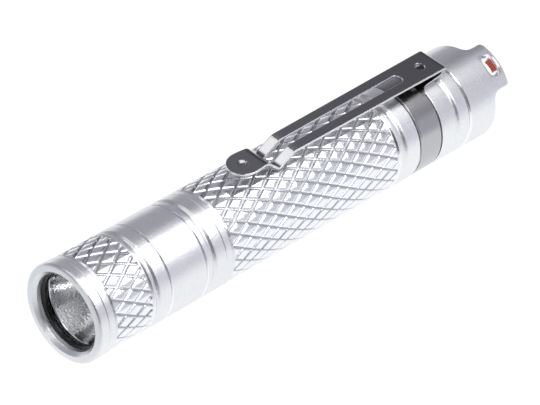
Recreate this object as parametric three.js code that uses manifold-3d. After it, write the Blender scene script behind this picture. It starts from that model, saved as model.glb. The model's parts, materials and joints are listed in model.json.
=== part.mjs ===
// A slim single-cell flashlight: knurled aluminium barrel, pocket clip and push-button tail.
// Millimetres, +Z up. The light lies along X: it shines towards -X, its tail button faces +X,
// and the pocket clip is on top. The origin is on the resting surface, under mid-length.
import * as THREE from 'three';
import { mergeVertices } from 'three/addons/utils/BufferGeometryUtils.js';
import Module from 'manifold-3d';

const wasm = await Module();
wasm.setup();

// Cell and the barrel wall around it
const cellRadius = 7.1;
const cellLength = 50.5;
const cellGap = 0.2;
const tubeWall = 1.7;
const endLip = 0.1;
const sleeveThickness = 0.15;
const nubRadius = 2.75;
const nubHeight = 1.0;

// Screw joints: a ridged neck inside a plain socket, sealed by an O-ring
const jointWall = 0.7;
const runningGap = 0.1;
const threadHeight = 0.25;
const threadPitch = 1.0;
const threadBase = 0.7;
const threadSink = 0.15;
const threadLead = 0.3;
const ringSection = 0.6;
const ringGrooveDepth = 0.4;
const ringGrooveLength = 0.9;
const ringSetback = 0.5;
const ringClearance = 0.06;
const seamGap = 0.05;
const seamChamfer = 0.2;
const seatGap = 0.03;

// Bezel, lens and reflector
const rimChamfer = 0.85;
const lipDepth = 1.6;
const lipWidth = 0.85;
const lensShoulder = 0.4;
const lensGap = 0.15;
const lensThickness = 1.5;
const sealSection = 1.3;
const sealGap = 0.08;
const reflectorDepth = 7.6;
const reflectorWall = 0.8;
const reflectorRim = 0.75;
const reflectorThroat = 2.6;
const frontRing = 3.55;
const bezelRearRing = 4.15;
const bezelGrooveSetback = 3.2;

// Light source on its board
const ledBoardThickness = 1.5;
const ledBoardGap = 0.3;
const ledPackageSide = 3.4;
const ledPackageHeight = 0.7;
const ledDomeRadius = 1.5;
const gasketThickness = 0.5;
const gasketWall = 1.4;
const leadRadius = 0.4;
const leadHoleRadius = 0.8;
const leadPitchRadius = 5.5;
const leadPadRadius = 4.8;

// Head housing and driver
const bezelNeckLength = 5.3;
const shelfSetback = 2.3;
const shelfThickness = 1.6;
const componentRoom = 2.4;
const driverLedge = 1.0;
const driverThickness = 1.2;
const driverGap = 0.2;
const driverRingThickness = 1.0;
const driverRingWidth = 1.8;
const inductorRadius = 2.0;
const chipSide = 3.0;
const capacitorSide = 1.8;
const inductorHeight = 1.9;
const chipHeight = 1.0;
const capacitorHeight = 1.3;
const componentPitchRadius = 3.2;
const inductorTurn = 0;
const chipTurn = 230;
const capacitorTurn = 120;
const headNeckLength = 4.02;
const headNeckGap = 0.4;
const headNeckWall = 1.45;

// Contact springs
const frontSpringLength = 7.5;
const frontSpringRadius = 2.6;
const rearSpringLength = 13.2;
const rearSpringRadius = 3.4;
const springTaper = 0.7;
const springWire = 0.7;
const springTurns = 4.5;

// Body tube: rings, grooves and the clip seat, counted from its two ends
const tubeRingGroove = 1.75;
const tubeFrontRing = 4.6;
const knurlChamfer = 1.6;
const tubeRearRing = 5.6;
const tubeRearGroove = 1.8;
const clipSeatLength = 6.0;
const clipSeatDepth = 0.6;
const socketWall = 1.3;
const tailGrooveSetback = 3.4;
const grooveWidth = 0.9;
const grooveDepth = 0.3;

// Diamond knurl
const knurlStarts = 24;
const knurlPitch = 4.43;
const knurlDepth = 0.32;

// Tail cap and switch
const capNeckLength = 6.0;
const capNeckGap = 0.3;
const capNeckWall = 1.25;
const capSetback = 1.72;
const capFloor = 1.2;
const recessDepth = 4.83;
const earWall = 2.2;
const earEdge = 0.5;
const earAngle = 63.5;
const earCentre = 29.5;
const scallopDepth = 4.15;
const scallopFillet = 1.5;
const lanyardLength = 4.5;
const lanyardWidth = 3.0;
const lanyardSetback = 2.2;
const lanyardCorner = 1.2;
const switchBoardThickness = 1.0;
const switchBoardGap = 0.2;
const retainerThickness = 2.4;
const retainerWidth = 2.0;
const switchSide = 8.2;
const switchHeight = 4.5;
const switchTravel = 1.5;
const plungerRadius = 1.9;
const plungerGap = 0.25;
const washerThickness = 0.6;
const bootFlange = 0.8;
const bootRadius = 3.3;
const bootWall = 0.8;
const bootRise = 2.3;
const bootCrown = 1.2;
const bootGap = 0.3;

// Pocket clip, one bent strip: a band round the barrel, a tab, a fold and the arm
const clipThickness = 0.45;
const bandGap = 0.1;
const bandEndGap = 0.3;
const bandOpening = 80;
const tabWidth = 4.4;
const tabGap = 0.1;
const tabLength = 4.85;
const tabStep = 1.2;
const tabSink = 0.15;
const foldRadius = 1.0;
const foldSlit = 0.2;
const bendEase = 0.2;
const armTailWidth = 6.3;
const armFrontWidth = 5.7;
const armCorner = 1.0;
const armLength = 38.5;
const legRun = 3.2;
const legGap = 0.06;
const riseRun = 3.1;
const paddleRise = 0.4;
const paddleLength = 6.7;
const paddleWidth = 5.9;
const paddleNeck = 5.4;
const waistWidth = 4.4;
const armSlotWidth = 2.75;
const armSlotSetback = 8.9;
const armHoleRadius = 0.95;
const armHoleSetback = 4.5;

// Facets round the shells and round the small pieces, and how far a cutter runs past a face
const shellFacets = 2 * knurlStarts;
const plainFacets = 32;
const pieceFacets = 24;
const smallFacets = 16;
const holeFacets = 10;
const domeSlices = 4;
const dishSlices = 6;
const arcSegments = 5;
const leadSteps = 12;
const ringSides = 6;
const wireSides = 5;
const threadSteps = 16;
const springSteps = 8;
const overrun = 1;
const weld = 1e-4;

// Radii, worked outwards from the cell
const tubeBore = cellRadius + cellGap;
const barrelRadius = tubeBore + tubeWall;
const endRadius = barrelRadius + endLip;
const socketRadius = barrelRadius - jointWall;
const crestRadius = socketRadius - runningGap;
const neckRadius = crestRadius - threadHeight;
const grooveFloor = neckRadius - ringGrooveDepth;
const lensBore = socketRadius - lensShoulder;
const lensRadius = lensBore - lensGap;
const apertureRadius = lensBore - lipWidth;
const reflectorMouth = lensRadius - reflectorRim;
const ledBoardRadius = tubeBore - ledBoardGap;
const driverRadius = tubeBore - driverGap;
const headNeckBore = neckRadius - headNeckWall;
const capBore = neckRadius - capNeckWall;
const switchBoardRadius = capBore - switchBoardGap;
const recessRadius = endRadius - earWall;
const knurlRoot = barrelRadius - knurlDepth;
const clipSeatRadius = barrelRadius - clipSeatDepth;

// Stations along the axis, counted from the front rim
const lensFront = lipDepth + sealSection + sealGap;
const reflectorFront = lensFront + lensThickness + seatGap;
const reflectorBase = reflectorFront + reflectorDepth;
const ledBoardFront = reflectorBase + gasketThickness + 2 * seatGap;
const shelfFront = ledBoardFront + ledBoardThickness + seatGap;
const bezelRear = shelfFront + shelfSetback;
const driverFront = shelfFront + shelfThickness + componentRoom;
const driverRear = driverFront + driverThickness;
const driverRingRear = driverRear + seatGap + driverRingThickness;
const tubeFront = driverRingRear + headNeckGap;
const headRear = tubeFront + headNeckLength;
const cellFront = driverRear + frontSpringLength;
const cellRear = cellFront + cellLength;
const switchBoardFront = cellRear + rearSpringLength;
const switchBoardRear = switchBoardFront + switchBoardThickness;
const switchRear = switchBoardRear + seatGap + switchHeight;
const washerRear = switchRear + seatGap + washerThickness;
const bootSeat = washerRear + seatGap + bootFlange;
const capSeat = bootSeat + seatGap;
const recessFloor = capSeat + capFloor;
const capRear = recessFloor + recessDepth;
const tubeRear = switchBoardFront + capSetback;
const capFront = tubeRear - capNeckLength;
const socketFloor = capFront - capNeckGap;
const clipSeatRear = socketFloor - socketWall;
const clipSeatFront = clipSeatRear - clipSeatLength;
const overallLength = capRear;
const axisHeight = endRadius * Math.cos(Math.PI / shellFacets);

const finish = {
  aluminium: { color: 0xd6d8dc, roughness: 0.35, metalness: 1.0 },
  clipSteel: { color: 0x4a4a4e, roughness: 0.38, metalness: 1.0 },
  glass: { color: 0xe8f2f4, roughness: 0.02, metalness: 0.0 },
  rubber: { color: 0x121214, roughness: 0.45, metalness: 0.0 },
  mirror: { color: 0xf0f0f0, roughness: 0.08, metalness: 1.0 },
  silicone: { color: 0xc8472b, roughness: 0.5, metalness: 0.0 },
  whitePlastic: { color: 0xeeeeea, roughness: 0.5, metalness: 0.0 },
  blackPlastic: { color: 0x1c1c1e, roughness: 0.5, metalness: 0.0 },
  phosphor: { color: 0xe3c23a, roughness: 0.4, metalness: 0.0 },
  circuit: { color: 0x1f5a34, roughness: 0.45, metalness: 0.0 },
  copper: { color: 0xb87343, roughness: 0.35, metalness: 1.0 },
  brass: { color: 0xc9a44c, roughness: 0.3, metalness: 1.0 },
  steel: { color: 0xb9bbbd, roughness: 0.3, metalness: 1.0 },
  sleeve: { color: 0x3b6ea5, roughness: 0.4, metalness: 0.0 },
  redWire: { color: 0xa8201c, roughness: 0.5, metalness: 0.0 },
};

// Merges shared vertices, drops collapsed triangles and turns the faces outwards.
function closed(geometry) {
  geometry.deleteAttribute('normal');
  geometry.deleteAttribute('uv');
  const merged = mergeVertices(geometry, weld);
  const points = merged.attributes.position;
  const index = [];
  const [a, b, c] = [new THREE.Vector3(), new THREE.Vector3(), new THREE.Vector3()];
  let volume = 0;
  for (let i = 0; i < merged.index.count; i += 3) {
    const corners = [0, 1, 2].map((k) => merged.index.getX(i + k));
    if (new Set(corners).size < 3) continue;
    index.push(...corners);
    a.fromBufferAttribute(points, corners[0]);
    b.fromBufferAttribute(points, corners[1]);
    c.fromBufferAttribute(points, corners[2]);
    volume += a.dot(b.cross(c));
  }
  merged.setIndex(volume < 0 ? index.reverse() : index);
  return merged;
}

function toManifold(geometry) {
  const solid = closed(geometry.clone());
  const vertProperties = new Float32Array(solid.attributes.position.array);
  const triVerts = new Uint32Array(solid.index.array);
  return new wasm.Manifold(new wasm.Mesh({ numProp: 3, vertProperties, triVerts }));
}

function toGeometry(manifold) {
  const mesh = manifold.getMesh();
  const geometry = new THREE.BufferGeometry();
  geometry.setAttribute('position', new THREE.BufferAttribute(mesh.vertProperties, 3));
  geometry.setIndex(Array.from(mesh.triVerts));
  return geometry;
}

function join(first, ...others) {
  const joined = others.reduce((solid, next) => solid.add(toManifold(next)), toManifold(first));
  return toGeometry(joined);
}

function cut(first, ...others) {
  const left = others.reduce((solid, next) => solid.subtract(toManifold(next)), toManifold(first));
  return toGeometry(left);
}

function intersect(first, second) {
  return toGeometry(toManifold(first).intersect(toManifold(second)));
}

// Turns a closed profile of [radius, station, padRadius] rows about the axis. A row with a pad
// radius alternates with it from facet to facet, and each square is folded along its valley.
function revolve(profile, facets = pieceFacets) {
  const rows = profile.length;
  const radiusAt = (column, row) => {
    const [radius, , pad] = profile[row];
    return pad !== undefined && (column + row) % 2 ? pad : radius;
  };
  const positions = [];
  for (let column = 0; column < facets; column += 1) {
    const angle = ((column + 0.5) * 2 * Math.PI) / facets;
    for (let row = 0; row < rows; row += 1) {
      const radius = radiusAt(column, row);
      positions.push(radius * Math.sin(angle), profile[row][1], radius * Math.cos(angle));
    }
  }
  const index = [];
  for (let column = 0; column < facets; column += 1) {
    const beside = (column + 1) % facets;
    for (let row = 0; row < rows; row += 1) {
      const above = (row + 1) % rows;
      const [p, q] = [column * rows + row, beside * rows + row];
      const [r, s] = [column * rows + above, beside * rows + above];
      const rising = radiusAt(column, row) + radiusAt(beside, above);
      const falling = radiusAt(beside, row) + radiusAt(column, above);
      if (rising <= falling) index.push(p, q, s, p, s, r);
      else index.push(p, q, r, q, s, r);
    }
  }
  const geometry = new THREE.BufferGeometry();
  geometry.setAttribute('position', new THREE.Float32BufferAttribute(positions, 3));
  geometry.setIndex(index);
  return closed(geometry);
}

function ring(inner, outer, start, end, facets = pieceFacets) {
  return revolve([[inner, start], [outer, start], [outer, end], [inner, end]], facets);
}

function disc(radius, start, end, facets = pieceFacets) {
  return revolve([[0, start], [radius, start], [radius, end], [0, end]], facets);
}

// A torus whose wire of the given section reaches the outer radius.
function sealRing(outerRadius, section, station) {
  const middle = outerRadius - section / 2;
  const profile = [];
  for (let side = 0; side < ringSides; side += 1) {
    const angle = (side * 2 * Math.PI) / ringSides;
    const radius = middle + (section / 2) * Math.cos(angle);
    profile.push([radius, station + (section / 2) * Math.sin(angle)]);
  }
  return revolve(profile);
}

// A V-shaped groove in a ring, as profile rows about its middle station.
function groove(station, radius, depth = grooveDepth) {
  const half = grooveWidth / 2;
  return [[radius, station - half], [radius - depth, station], [radius, station + half]];
}

// Diamond knurl between two stations: rows half a pitch apart whose pads alternate.
function knurl(start, end) {
  const rows = Math.max(2, Math.round((2 * (end - start)) / knurlPitch));
  const profile = [];
  for (let row = 1; row < rows; row += 1) {
    const station = start + ((end - start) * row) / rows;
    profile.push([knurlRoot, station, barrelRadius]);
  }
  return [[knurlRoot, start], ...profile, [knurlRoot, end]];
}

// A helical ridge of triangular section, sunk a little into the neck that carries it.
function threadRidge(start, end) {
  const half = threadBase / 2;
  const turns = (end - start - 2 * half) / threadPitch;
  const steps = Math.max(3, Math.ceil(turns * threadSteps));
  const section = [[neckRadius - threadSink, -half], [neckRadius - threadSink, half], [crestRadius, 0]];
  const positions = [];
  for (let step = 0; step <= steps; step += 1) {
    const angle = (2 * Math.PI * turns * step) / steps;
    const middle = start + half + (turns * threadPitch * step) / steps;
    for (const [radius, offset] of section) {
      positions.push(radius * Math.sin(angle), middle + offset, radius * Math.cos(angle));
    }
  }
  const index = [0, 1, 2];
  for (let step = 0; step < steps; step += 1) {
    for (let side = 0; side < 3; side += 1) {
      const next = (side + 1) % 3;
      const [p, q, r, s] = [3 * step + side, 3 * step + next, 3 * step + 3 + side, 3 * step + 3 + next];
      index.push(p, r, q, q, r, s);
    }
  }
  index.push(3 * steps, 3 * steps + 2, 3 * steps + 1);
  const geometry = new THREE.BufferGeometry();
  geometry.setAttribute('position', new THREE.Float32BufferAttribute(positions, 3));
  geometry.setIndex(index);
  return geometry;
}

// A helix about the axis whose radius eases from one end to the other.
class SpringPath extends THREE.Curve {
  constructor(startRadius, endRadius, start, end, turns) {
    super();
    Object.assign(this, { startRadius, endRadius, start, end, turns });
  }

  getPoint(t, target = new THREE.Vector3()) {
    const angle = 2 * Math.PI * this.turns * t;
    const radius = THREE.MathUtils.lerp(this.startRadius, this.endRadius, t);
    const station = THREE.MathUtils.lerp(this.start, this.end, t);
    return target.set(radius * Math.sin(angle), station, radius * Math.cos(angle));
  }
}

function wireAlong(path, radius, steps) {
  const section = new THREE.Shape(new THREE.EllipseCurve(0, 0, radius, radius).getPoints(wireSides).slice(1));
  return new THREE.ExtrudeGeometry(section, { steps, extrudePath: path, curveSegments: 1 });
}

function contactSpring(wideRadius, start, end) {
  const lift = (springWire / 2 + seatGap) * Math.sign(end - start);
  const narrow = wideRadius * springTaper;
  const path = new SpringPath(wideRadius, narrow, start + lift, end - lift, springTurns);
  return wireAlong(path, springWire / 2, Math.round(springSteps * springTurns));
}

// A box centred on a point of the cross-section, between two stations.
function block(width, depth, start, end, x = 0, z = 0) {
  const geometry = new THREE.BoxGeometry(width, end - start, depth);
  return geometry.translate(x, (start + end) / 2, z);
}

function rod(radius, start, end, x = 0, z = 0, sides = holeFacets) {
  const geometry = new THREE.CylinderGeometry(radius, radius, end - start, sides);
  return geometry.translate(x, (start + end) / 2, z);
}

function flatSolid(outline, depth) {
  return new THREE.ExtrudeGeometry(outline, { depth, bevelEnabled: false, curveSegments: arcSegments });
}

// Wraps a flat outline of arc length and station round the axis, as a solid from one radius out.
function wrapped(outline, angle, inner, outer, atRadius) {
  const geometry = flatSolid(outline, outer - inner);
  const points = geometry.attributes.position;
  for (let i = 0; i < points.count; i += 1) {
    const turn = THREE.MathUtils.degToRad(angle) + points.getX(i) / atRadius;
    const radius = inner + points.getZ(i);
    points.setXYZ(i, radius * Math.sin(turn), points.getY(i), radius * Math.cos(turn));
  }
  return geometry;
}

function bezel() {
  const mid = bezelRear - bezelGrooveSetback;
  const rear = bezelRear - seamGap;
  const profile = [
    [apertureRadius, 0],
    [endRadius - rimChamfer, 0],
    [endRadius, rimChamfer],
    [endRadius, frontRing - knurlChamfer],
    ...knurl(frontRing, bezelRear - bezelRearRing),
    [barrelRadius, bezelRear - bezelRearRing + grooveDepth],
    ...groove(mid, barrelRadius),
    [barrelRadius, rear - seamChamfer],
    [barrelRadius - seamChamfer, rear],
    [socketRadius, rear],
    [socketRadius, bezelRear - bezelNeckLength - headNeckGap],
    [lensBore, bezelRear - bezelNeckLength - headNeckGap - lensShoulder],
    [lensBore, lipDepth],
    [apertureRadius, lipDepth],
  ];
  return revolve(profile, shellFacets);
}

function reflector() {
  const inside = (station) => {
    const share = (reflectorBase - station) / reflectorDepth;
    return Math.sqrt(reflectorThroat ** 2 + share * (reflectorMouth ** 2 - reflectorThroat ** 2));
  };
  const profile = [[lensRadius, reflectorFront], [lensRadius, reflectorFront + reflectorWall]];
  const dish = [];
  for (let slice = 0; slice <= dishSlices; slice += 1) {
    const station = reflectorFront + (reflectorDepth * slice) / dishSlices;
    dish.push([inside(station), station]);
  }
  const back = dish.slice(2).map(([radius, station]) => [radius + reflectorWall, station]);
  return revolve([...profile, ...back, ...dish.reverse()]);
}

function ledBoard() {
  const board = disc(ledBoardRadius, ledBoardFront, ledBoardFront + ledBoardThickness);
  const notches = [1, -1].map((side) => rod(
    leadHoleRadius, ledBoardFront - overrun, shelfFront + overrun, side * leadPitchRadius,
  ));
  return cut(board, ...notches);
}

function ledDome() {
  const base = ledBoardFront - ledPackageHeight - 2 * seatGap;
  const profile = [[0, base]];
  for (let slice = 0; slice <= domeSlices; slice += 1) {
    const turn = (slice * Math.PI) / 2 / domeSlices;
    profile.push([ledDomeRadius * Math.cos(turn), base - ledDomeRadius * Math.sin(turn)]);
  }
  return revolve(profile, smallFacets);
}

// A lead from the driver, up through the shelf and over on to its pad on the light board.
function lead(side) {
  const over = ledBoardFront - leadRadius - seatGap;
  const path = new THREE.CatmullRomCurve3([
    new THREE.Vector3(side * leadPitchRadius, driverFront - seatGap, 0),
    new THREE.Vector3(side * leadPitchRadius, shelfFront, 0),
    new THREE.Vector3(side * leadPitchRadius, ledBoardFront + leadRadius, 0),
    new THREE.Vector3(side * leadPadRadius, over, 0),
  ]);
  return wireAlong(path, leadRadius, leadSteps);
}

function headHousing() {
  const front = bezelRear - bezelNeckLength;
  const ringRear = bezelRear - ringSetback;
  const ringFront = ringRear - ringGrooveLength;
  const rear = headRear - seamGap;
  const ledge = driverRadius - driverLedge;
  const profile = [
    [0, shelfFront],
    [tubeBore, shelfFront],
    [tubeBore, front],
    [neckRadius, front],
    [neckRadius, ringFront],
    [grooveFloor, ringFront],
    [grooveFloor, ringRear],
    [neckRadius, ringRear],
    [neckRadius, bezelRear],
    [barrelRadius - seamChamfer, bezelRear],
    [barrelRadius, bezelRear + seamChamfer],
    [barrelRadius, rear - seamChamfer],
    [barrelRadius - seamChamfer, rear],
    [socketRadius, rear],
    [socketRadius, driverRingRear],
    [tubeBore, driverRingRear],
    [tubeBore, driverFront],
    [ledge, driverFront],
    [ledge, shelfFront + shelfThickness],
    [0, shelfFront + shelfThickness],
  ];
  const holes = [1, -1].map((side) => rod(
    leadHoleRadius, shelfFront - overrun, shelfFront + shelfThickness + overrun, side * leadPitchRadius,
  ));
  const shell = cut(revolve(profile, plainFacets), ...holes);
  return join(shell, threadRidge(front + threadLead, ringFront - threadLead));
}

function bodyTube() {
  const ringRear = headRear - ringSetback;
  const ringFront = ringRear - ringGrooveLength;
  const knurlRear = clipSeatFront - tubeRearRing;
  const rear = tubeRear - seamGap;
  const profile = [
    [headNeckBore, tubeFront],
    [neckRadius, tubeFront],
    [neckRadius, ringFront],
    [grooveFloor, ringFront],
    [grooveFloor, ringRear],
    [neckRadius, ringRear],
    [neckRadius, headRear],
    [barrelRadius - seamChamfer, headRear],
    [barrelRadius, headRear + seamChamfer],
    ...groove(headRear + tubeRingGroove, barrelRadius),
    [barrelRadius, headRear + tubeFrontRing],
    ...knurl(headRear + tubeFrontRing + knurlChamfer, knurlRear),
    [barrelRadius, knurlRear + grooveDepth],
    ...groove(knurlRear + tubeRearGroove, barrelRadius),
    [barrelRadius, clipSeatFront],
    [clipSeatRadius, clipSeatFront],
    [clipSeatRadius, clipSeatRear],
    [barrelRadius, clipSeatRear],
    ...groove(tubeRear - tailGrooveSetback, barrelRadius),
    [barrelRadius, rear - seamChamfer],
    [barrelRadius - seamChamfer, rear],
    [socketRadius, rear],
    [socketRadius, socketFloor],
    [tubeBore, socketFloor],
    [tubeBore, cellFront],
    [headNeckBore, cellFront - (tubeBore - headNeckBore)],
  ];
  return join(revolve(profile, shellFacets), threadRidge(tubeFront + threadLead, ringFront - threadLead));
}

// The gap between two ears, open to the tail, with rounded bottom corners and rounded ear ends.
function scallopOutline() {
  const half = THREE.MathUtils.degToRad(90 - earAngle / 2) * endRadius;
  const mouth = capRear + overrun;
  const fillet = capRear - scallopDepth + scallopFillet;
  const outline = new THREE.Shape();
  outline.moveTo(-half - earEdge - overrun, mouth);
  outline.lineTo(-half - earEdge - overrun, capRear);
  outline.lineTo(-half - earEdge, capRear);
  outline.absarc(-half - earEdge, capRear - earEdge, earEdge, Math.PI / 2, 0, true);
  outline.absarc(-half + scallopFillet, fillet, scallopFillet, Math.PI, 1.5 * Math.PI, false);
  outline.absarc(half - scallopFillet, fillet, scallopFillet, 1.5 * Math.PI, 2 * Math.PI, false);
  outline.absarc(half + earEdge, capRear - earEdge, earEdge, Math.PI, Math.PI / 2, true);
  outline.lineTo(half + earEdge + overrun, capRear);
  outline.lineTo(half + earEdge + overrun, mouth);
  return outline;
}

function lanyardOutline() {
  const x = lanyardLength / 2 - lanyardCorner;
  const y = lanyardWidth / 2 - lanyardCorner;
  const middle = capRear - lanyardSetback;
  const outline = new THREE.Shape();
  outline.absarc(x, middle + y, lanyardCorner, 0, Math.PI / 2, false);
  outline.absarc(-x, middle + y, lanyardCorner, Math.PI / 2, Math.PI, false);
  outline.absarc(-x, middle - y, lanyardCorner, Math.PI, 1.5 * Math.PI, false);
  outline.absarc(x, middle - y, lanyardCorner, 1.5 * Math.PI, 2 * Math.PI, false);
  return outline;
}

function tailCap() {
  const ringRear = tubeRear - ringSetback;
  const ringFront = ringRear - ringGrooveLength;
  const profile = [
    [capBore, capFront],
    [neckRadius, capFront],
    [neckRadius, ringFront],
    [grooveFloor, ringFront],
    [grooveFloor, ringRear],
    [neckRadius, ringRear],
    [neckRadius, tubeRear],
    [endRadius - seamChamfer, tubeRear],
    [endRadius, tubeRear + seamChamfer],
    [endRadius, capRear - earEdge],
    [endRadius - earEdge, capRear],
    [recessRadius + seamChamfer, capRear],
    [recessRadius, capRear - seamChamfer],
    [recessRadius, recessFloor],
    [bootRadius + bootGap, recessFloor],
    [bootRadius + bootGap, capSeat],
    [capBore, capSeat],
  ];
  const inner = recessRadius - overrun;
  const outer = 2 * (endRadius + overrun);
  const scallops = [90, -90].map(
    (turn) => wrapped(scallopOutline(), earCentre + turn, inner, outer, endRadius),
  );
  const slot = wrapped(lanyardOutline(), earCentre, inner, endRadius + overrun, endRadius);
  const shell = cut(revolve(profile, plainFacets), ...scallops, slot);
  return join(shell, threadRidge(capFront + threadLead, ringFront - threadLead));
}

function switchHousing() {
  const floor = switchRear - 2 * switchTravel;
  const well = rod(plungerRadius + plungerGap, floor, switchRear + overrun, 0, 0, smallFacets);
  return cut(block(switchSide, switchSide, switchBoardRear + seatGap, switchRear), well);
}

const plungerFront = switchRear - switchTravel + plungerGap;
const plungerRear = capSeat;

function switchBoot() {
  const shoulder = recessFloor + bootRise - bootCrown;
  const crown = [];
  for (let slice = 0; slice <= domeSlices; slice += 1) {
    const turn = (slice * Math.PI) / 2 / domeSlices;
    crown.push([bootRadius * Math.sin(turn), shoulder + bootCrown * Math.cos(turn)]);
  }
  return revolve([
    ...crown,
    [bootRadius, bootSeat],
    [switchBoardRadius, bootSeat],
    [switchBoardRadius, bootSeat - bootFlange],
    [bootRadius - bootWall, bootSeat - bootFlange],
    [bootRadius - bootWall, plungerRear + seatGap],
    [0, plungerRear + seatGap],
  ]);
}

// Clip profile stations and heights above the axis
const bandFront = clipSeatFront + bandEndGap;
const bandRear = clipSeatRear - bandEndGap;
const bandInner = clipSeatRadius + bandGap;
const bandOuter = bandInner + clipThickness;
const tabLow = barrelRadius + tabGap;
const foldStation = bandRear + tabLength;
const foldHeight = tabLow + clipThickness / 2 + foldRadius;
const armLow = foldHeight + foldRadius - clipThickness / 2;
const bendStation = foldStation - armLength;
const valleyStation = bendStation - legRun;
const valleyLow = barrelRadius + legGap;
const paddleStart = valleyStation - riseRun;
const paddleLow = armLow + paddleRise;
const paddleTip = paddleStart - paddleLength;
const armEnd = foldStation + foldRadius + clipThickness / 2;

// Stands a side outline of station and height across the barrel, and a plan outline upright.
function acrossBarrel(outline, width) {
  const geometry = flatSolid(outline, width);
  const points = geometry.attributes.position;
  for (let i = 0; i < points.count; i += 1) {
    points.setXYZ(i, points.getZ(i) - width / 2, points.getX(i), points.getY(i));
  }
  return geometry;
}

function upright(outline, low, high) {
  const geometry = flatSolid(outline, high - low);
  const points = geometry.attributes.position;
  for (let i = 0; i < points.count; i += 1) {
    points.setXYZ(i, points.getY(i), points.getX(i), points.getZ(i) + low);
  }
  return geometry;
}

function clipBand() {
  const hoop = ring(bandInner, bandOuter, bandFront, bandRear, shellFacets);
  const reach = 2 * bandOuter;
  const wedge = new THREE.Shape();
  wedge.moveTo(0, 0);
  wedge.lineTo(-reach * Math.tan(THREE.MathUtils.degToRad(bandOpening / 2)), -reach);
  wedge.lineTo(reach * Math.tan(THREE.MathUtils.degToRad(bandOpening / 2)), -reach);
  const opening = flatSolid(wedge, bandRear - bandFront + 2 * overrun);
  opening.rotateX(Math.PI / 2);
  opening.translate(0, bandRear + overrun, 0);
  const tab = new THREE.Shape();
  tab.moveTo(bandRear - 2 * tabStep, bandInner + tabSink);
  tab.lineTo(bandRear - tabStep, bandInner + tabSink);
  tab.lineTo(bandRear - tabGap, tabLow);
  tab.lineTo(foldStation - foldSlit, tabLow);
  tab.lineTo(foldStation - foldSlit, tabLow + clipThickness);
  tab.lineTo(bandRear - tabStep / 2, tabLow + clipThickness);
  tab.lineTo(bandRear - 2 * tabStep, bandOuter + tabGap);
  return join(cut(hoop, opening), acrossBarrel(tab, tabWidth));
}

// The arm's side view: a fold, the flat arm, legs down to the barrel and the raised paddle.
function armSide() {
  const outer = foldRadius + clipThickness / 2;
  const inner = foldRadius - clipThickness / 2;
  const side = new THREE.Shape();
  side.moveTo(foldStation, foldHeight - outer);
  side.absarc(foldStation, foldHeight, outer, -Math.PI / 2, Math.PI / 2, false);
  side.lineTo(bendStation - bendEase, armLow + clipThickness);
  side.lineTo(valleyStation, valleyLow + clipThickness);
  side.lineTo(paddleStart + bendEase, paddleLow + clipThickness);
  side.lineTo(paddleTip, paddleLow + clipThickness);
  side.lineTo(paddleTip, paddleLow);
  side.lineTo(paddleStart - bendEase, paddleLow);
  side.lineTo(valleyStation - bendEase, valleyLow);
  side.lineTo(valleyStation + bendEase, valleyLow);
  side.lineTo(bendStation + bendEase, armLow);
  side.lineTo(foldStation, armLow);
  side.absarc(foldStation, foldHeight, inner, Math.PI / 2, -Math.PI / 2, true);
  return side;
}

// The arm's plan view: tapered arm with a hole, two legs round a long slot, a waist and the paddle.
function armPlan() {
  const [tail, front] = [armTailWidth / 2, armFrontWidth / 2];
  const [waist, paddle, shoulder] = [waistWidth / 2, paddleWidth / 2, paddleNeck / 2];
  const neck = valleyStation - riseRun / 2;
  const middle = paddleTip + paddleLength / 2;
  const plan = new THREE.Shape();
  plan.moveTo(armEnd - armCorner, -tail);
  plan.absarc(armEnd - armCorner, -tail + armCorner, armCorner, -Math.PI / 2, 0, false);
  plan.absarc(armEnd - armCorner, tail - armCorner, armCorner, 0, Math.PI / 2, false);
  plan.lineTo(bendStation, front);
  plan.lineTo(valleyStation, front);
  plan.lineTo(neck, waist);
  plan.lineTo(paddleStart, shoulder);
  plan.absellipse(middle, 0, paddleLength / 2, paddle, Math.PI / 2, 1.5 * Math.PI, false);
  plan.lineTo(paddleStart, -shoulder);
  plan.lineTo(neck, -waist);
  plan.lineTo(valleyStation, -front);
  plan.lineTo(bendStation, -front);
  const half = armSlotWidth / 2;
  const slotEnd = armEnd - armSlotSetback - half;
  const slot = new THREE.Path();
  slot.moveTo(neck, 0);
  slot.lineTo(valleyStation, half);
  slot.absarc(slotEnd, 0, half, Math.PI / 2, -Math.PI / 2, true);
  slot.lineTo(valleyStation, -half);
  const hole = new THREE.Path();
  hole.absarc(armEnd - armHoleSetback, 0, armHoleRadius, 0, 2 * Math.PI, false);
  plan.holes.push(slot, hole);
  return plan;
}

function clipArm() {
  const top = Math.max(armLow, paddleLow) + 2 * clipThickness;
  const over = upright(armPlan(), foldHeight, top);
  const side = acrossBarrel(armSide(), armTailWidth + overrun);
  const nose = upright(armPlan(), valleyLow - overrun, top);
  const front = block(2 * armTailWidth, 4 * top, paddleTip - overrun, bendStation + armLength / 2);
  const fold = block(tabWidth, 2 * top, foldStation - clipThickness, armEnd + overrun);
  const upper = intersect(side, join(over, intersect(nose, front)));
  return join(upper, intersect(side, fold));
}

// A place on the driver board, by its turn about the axis.
function onDriver(turn) {
  const angle = THREE.MathUtils.degToRad(turn);
  return [componentPitchRadius * Math.sin(angle), componentPitchRadius * Math.cos(angle)];
}

const light = new THREE.Group();
light.position.set(-overallLength / 2, 0, axisHeight);
light.rotation.z = -Math.PI / 2;

function addPiece(name, geometry, look) {
  const piece = new THREE.Mesh(closed(geometry), new THREE.MeshStandardMaterial(finish[look]));
  piece.name = name;
  light.add(piece);
}

const sealOuter = socketRadius - ringClearance;
const ringMiddle = ringSetback + ringGrooveLength / 2;
const cellCanFront = cellFront + nubHeight;
const driverSide = driverFront - seatGap;

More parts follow.
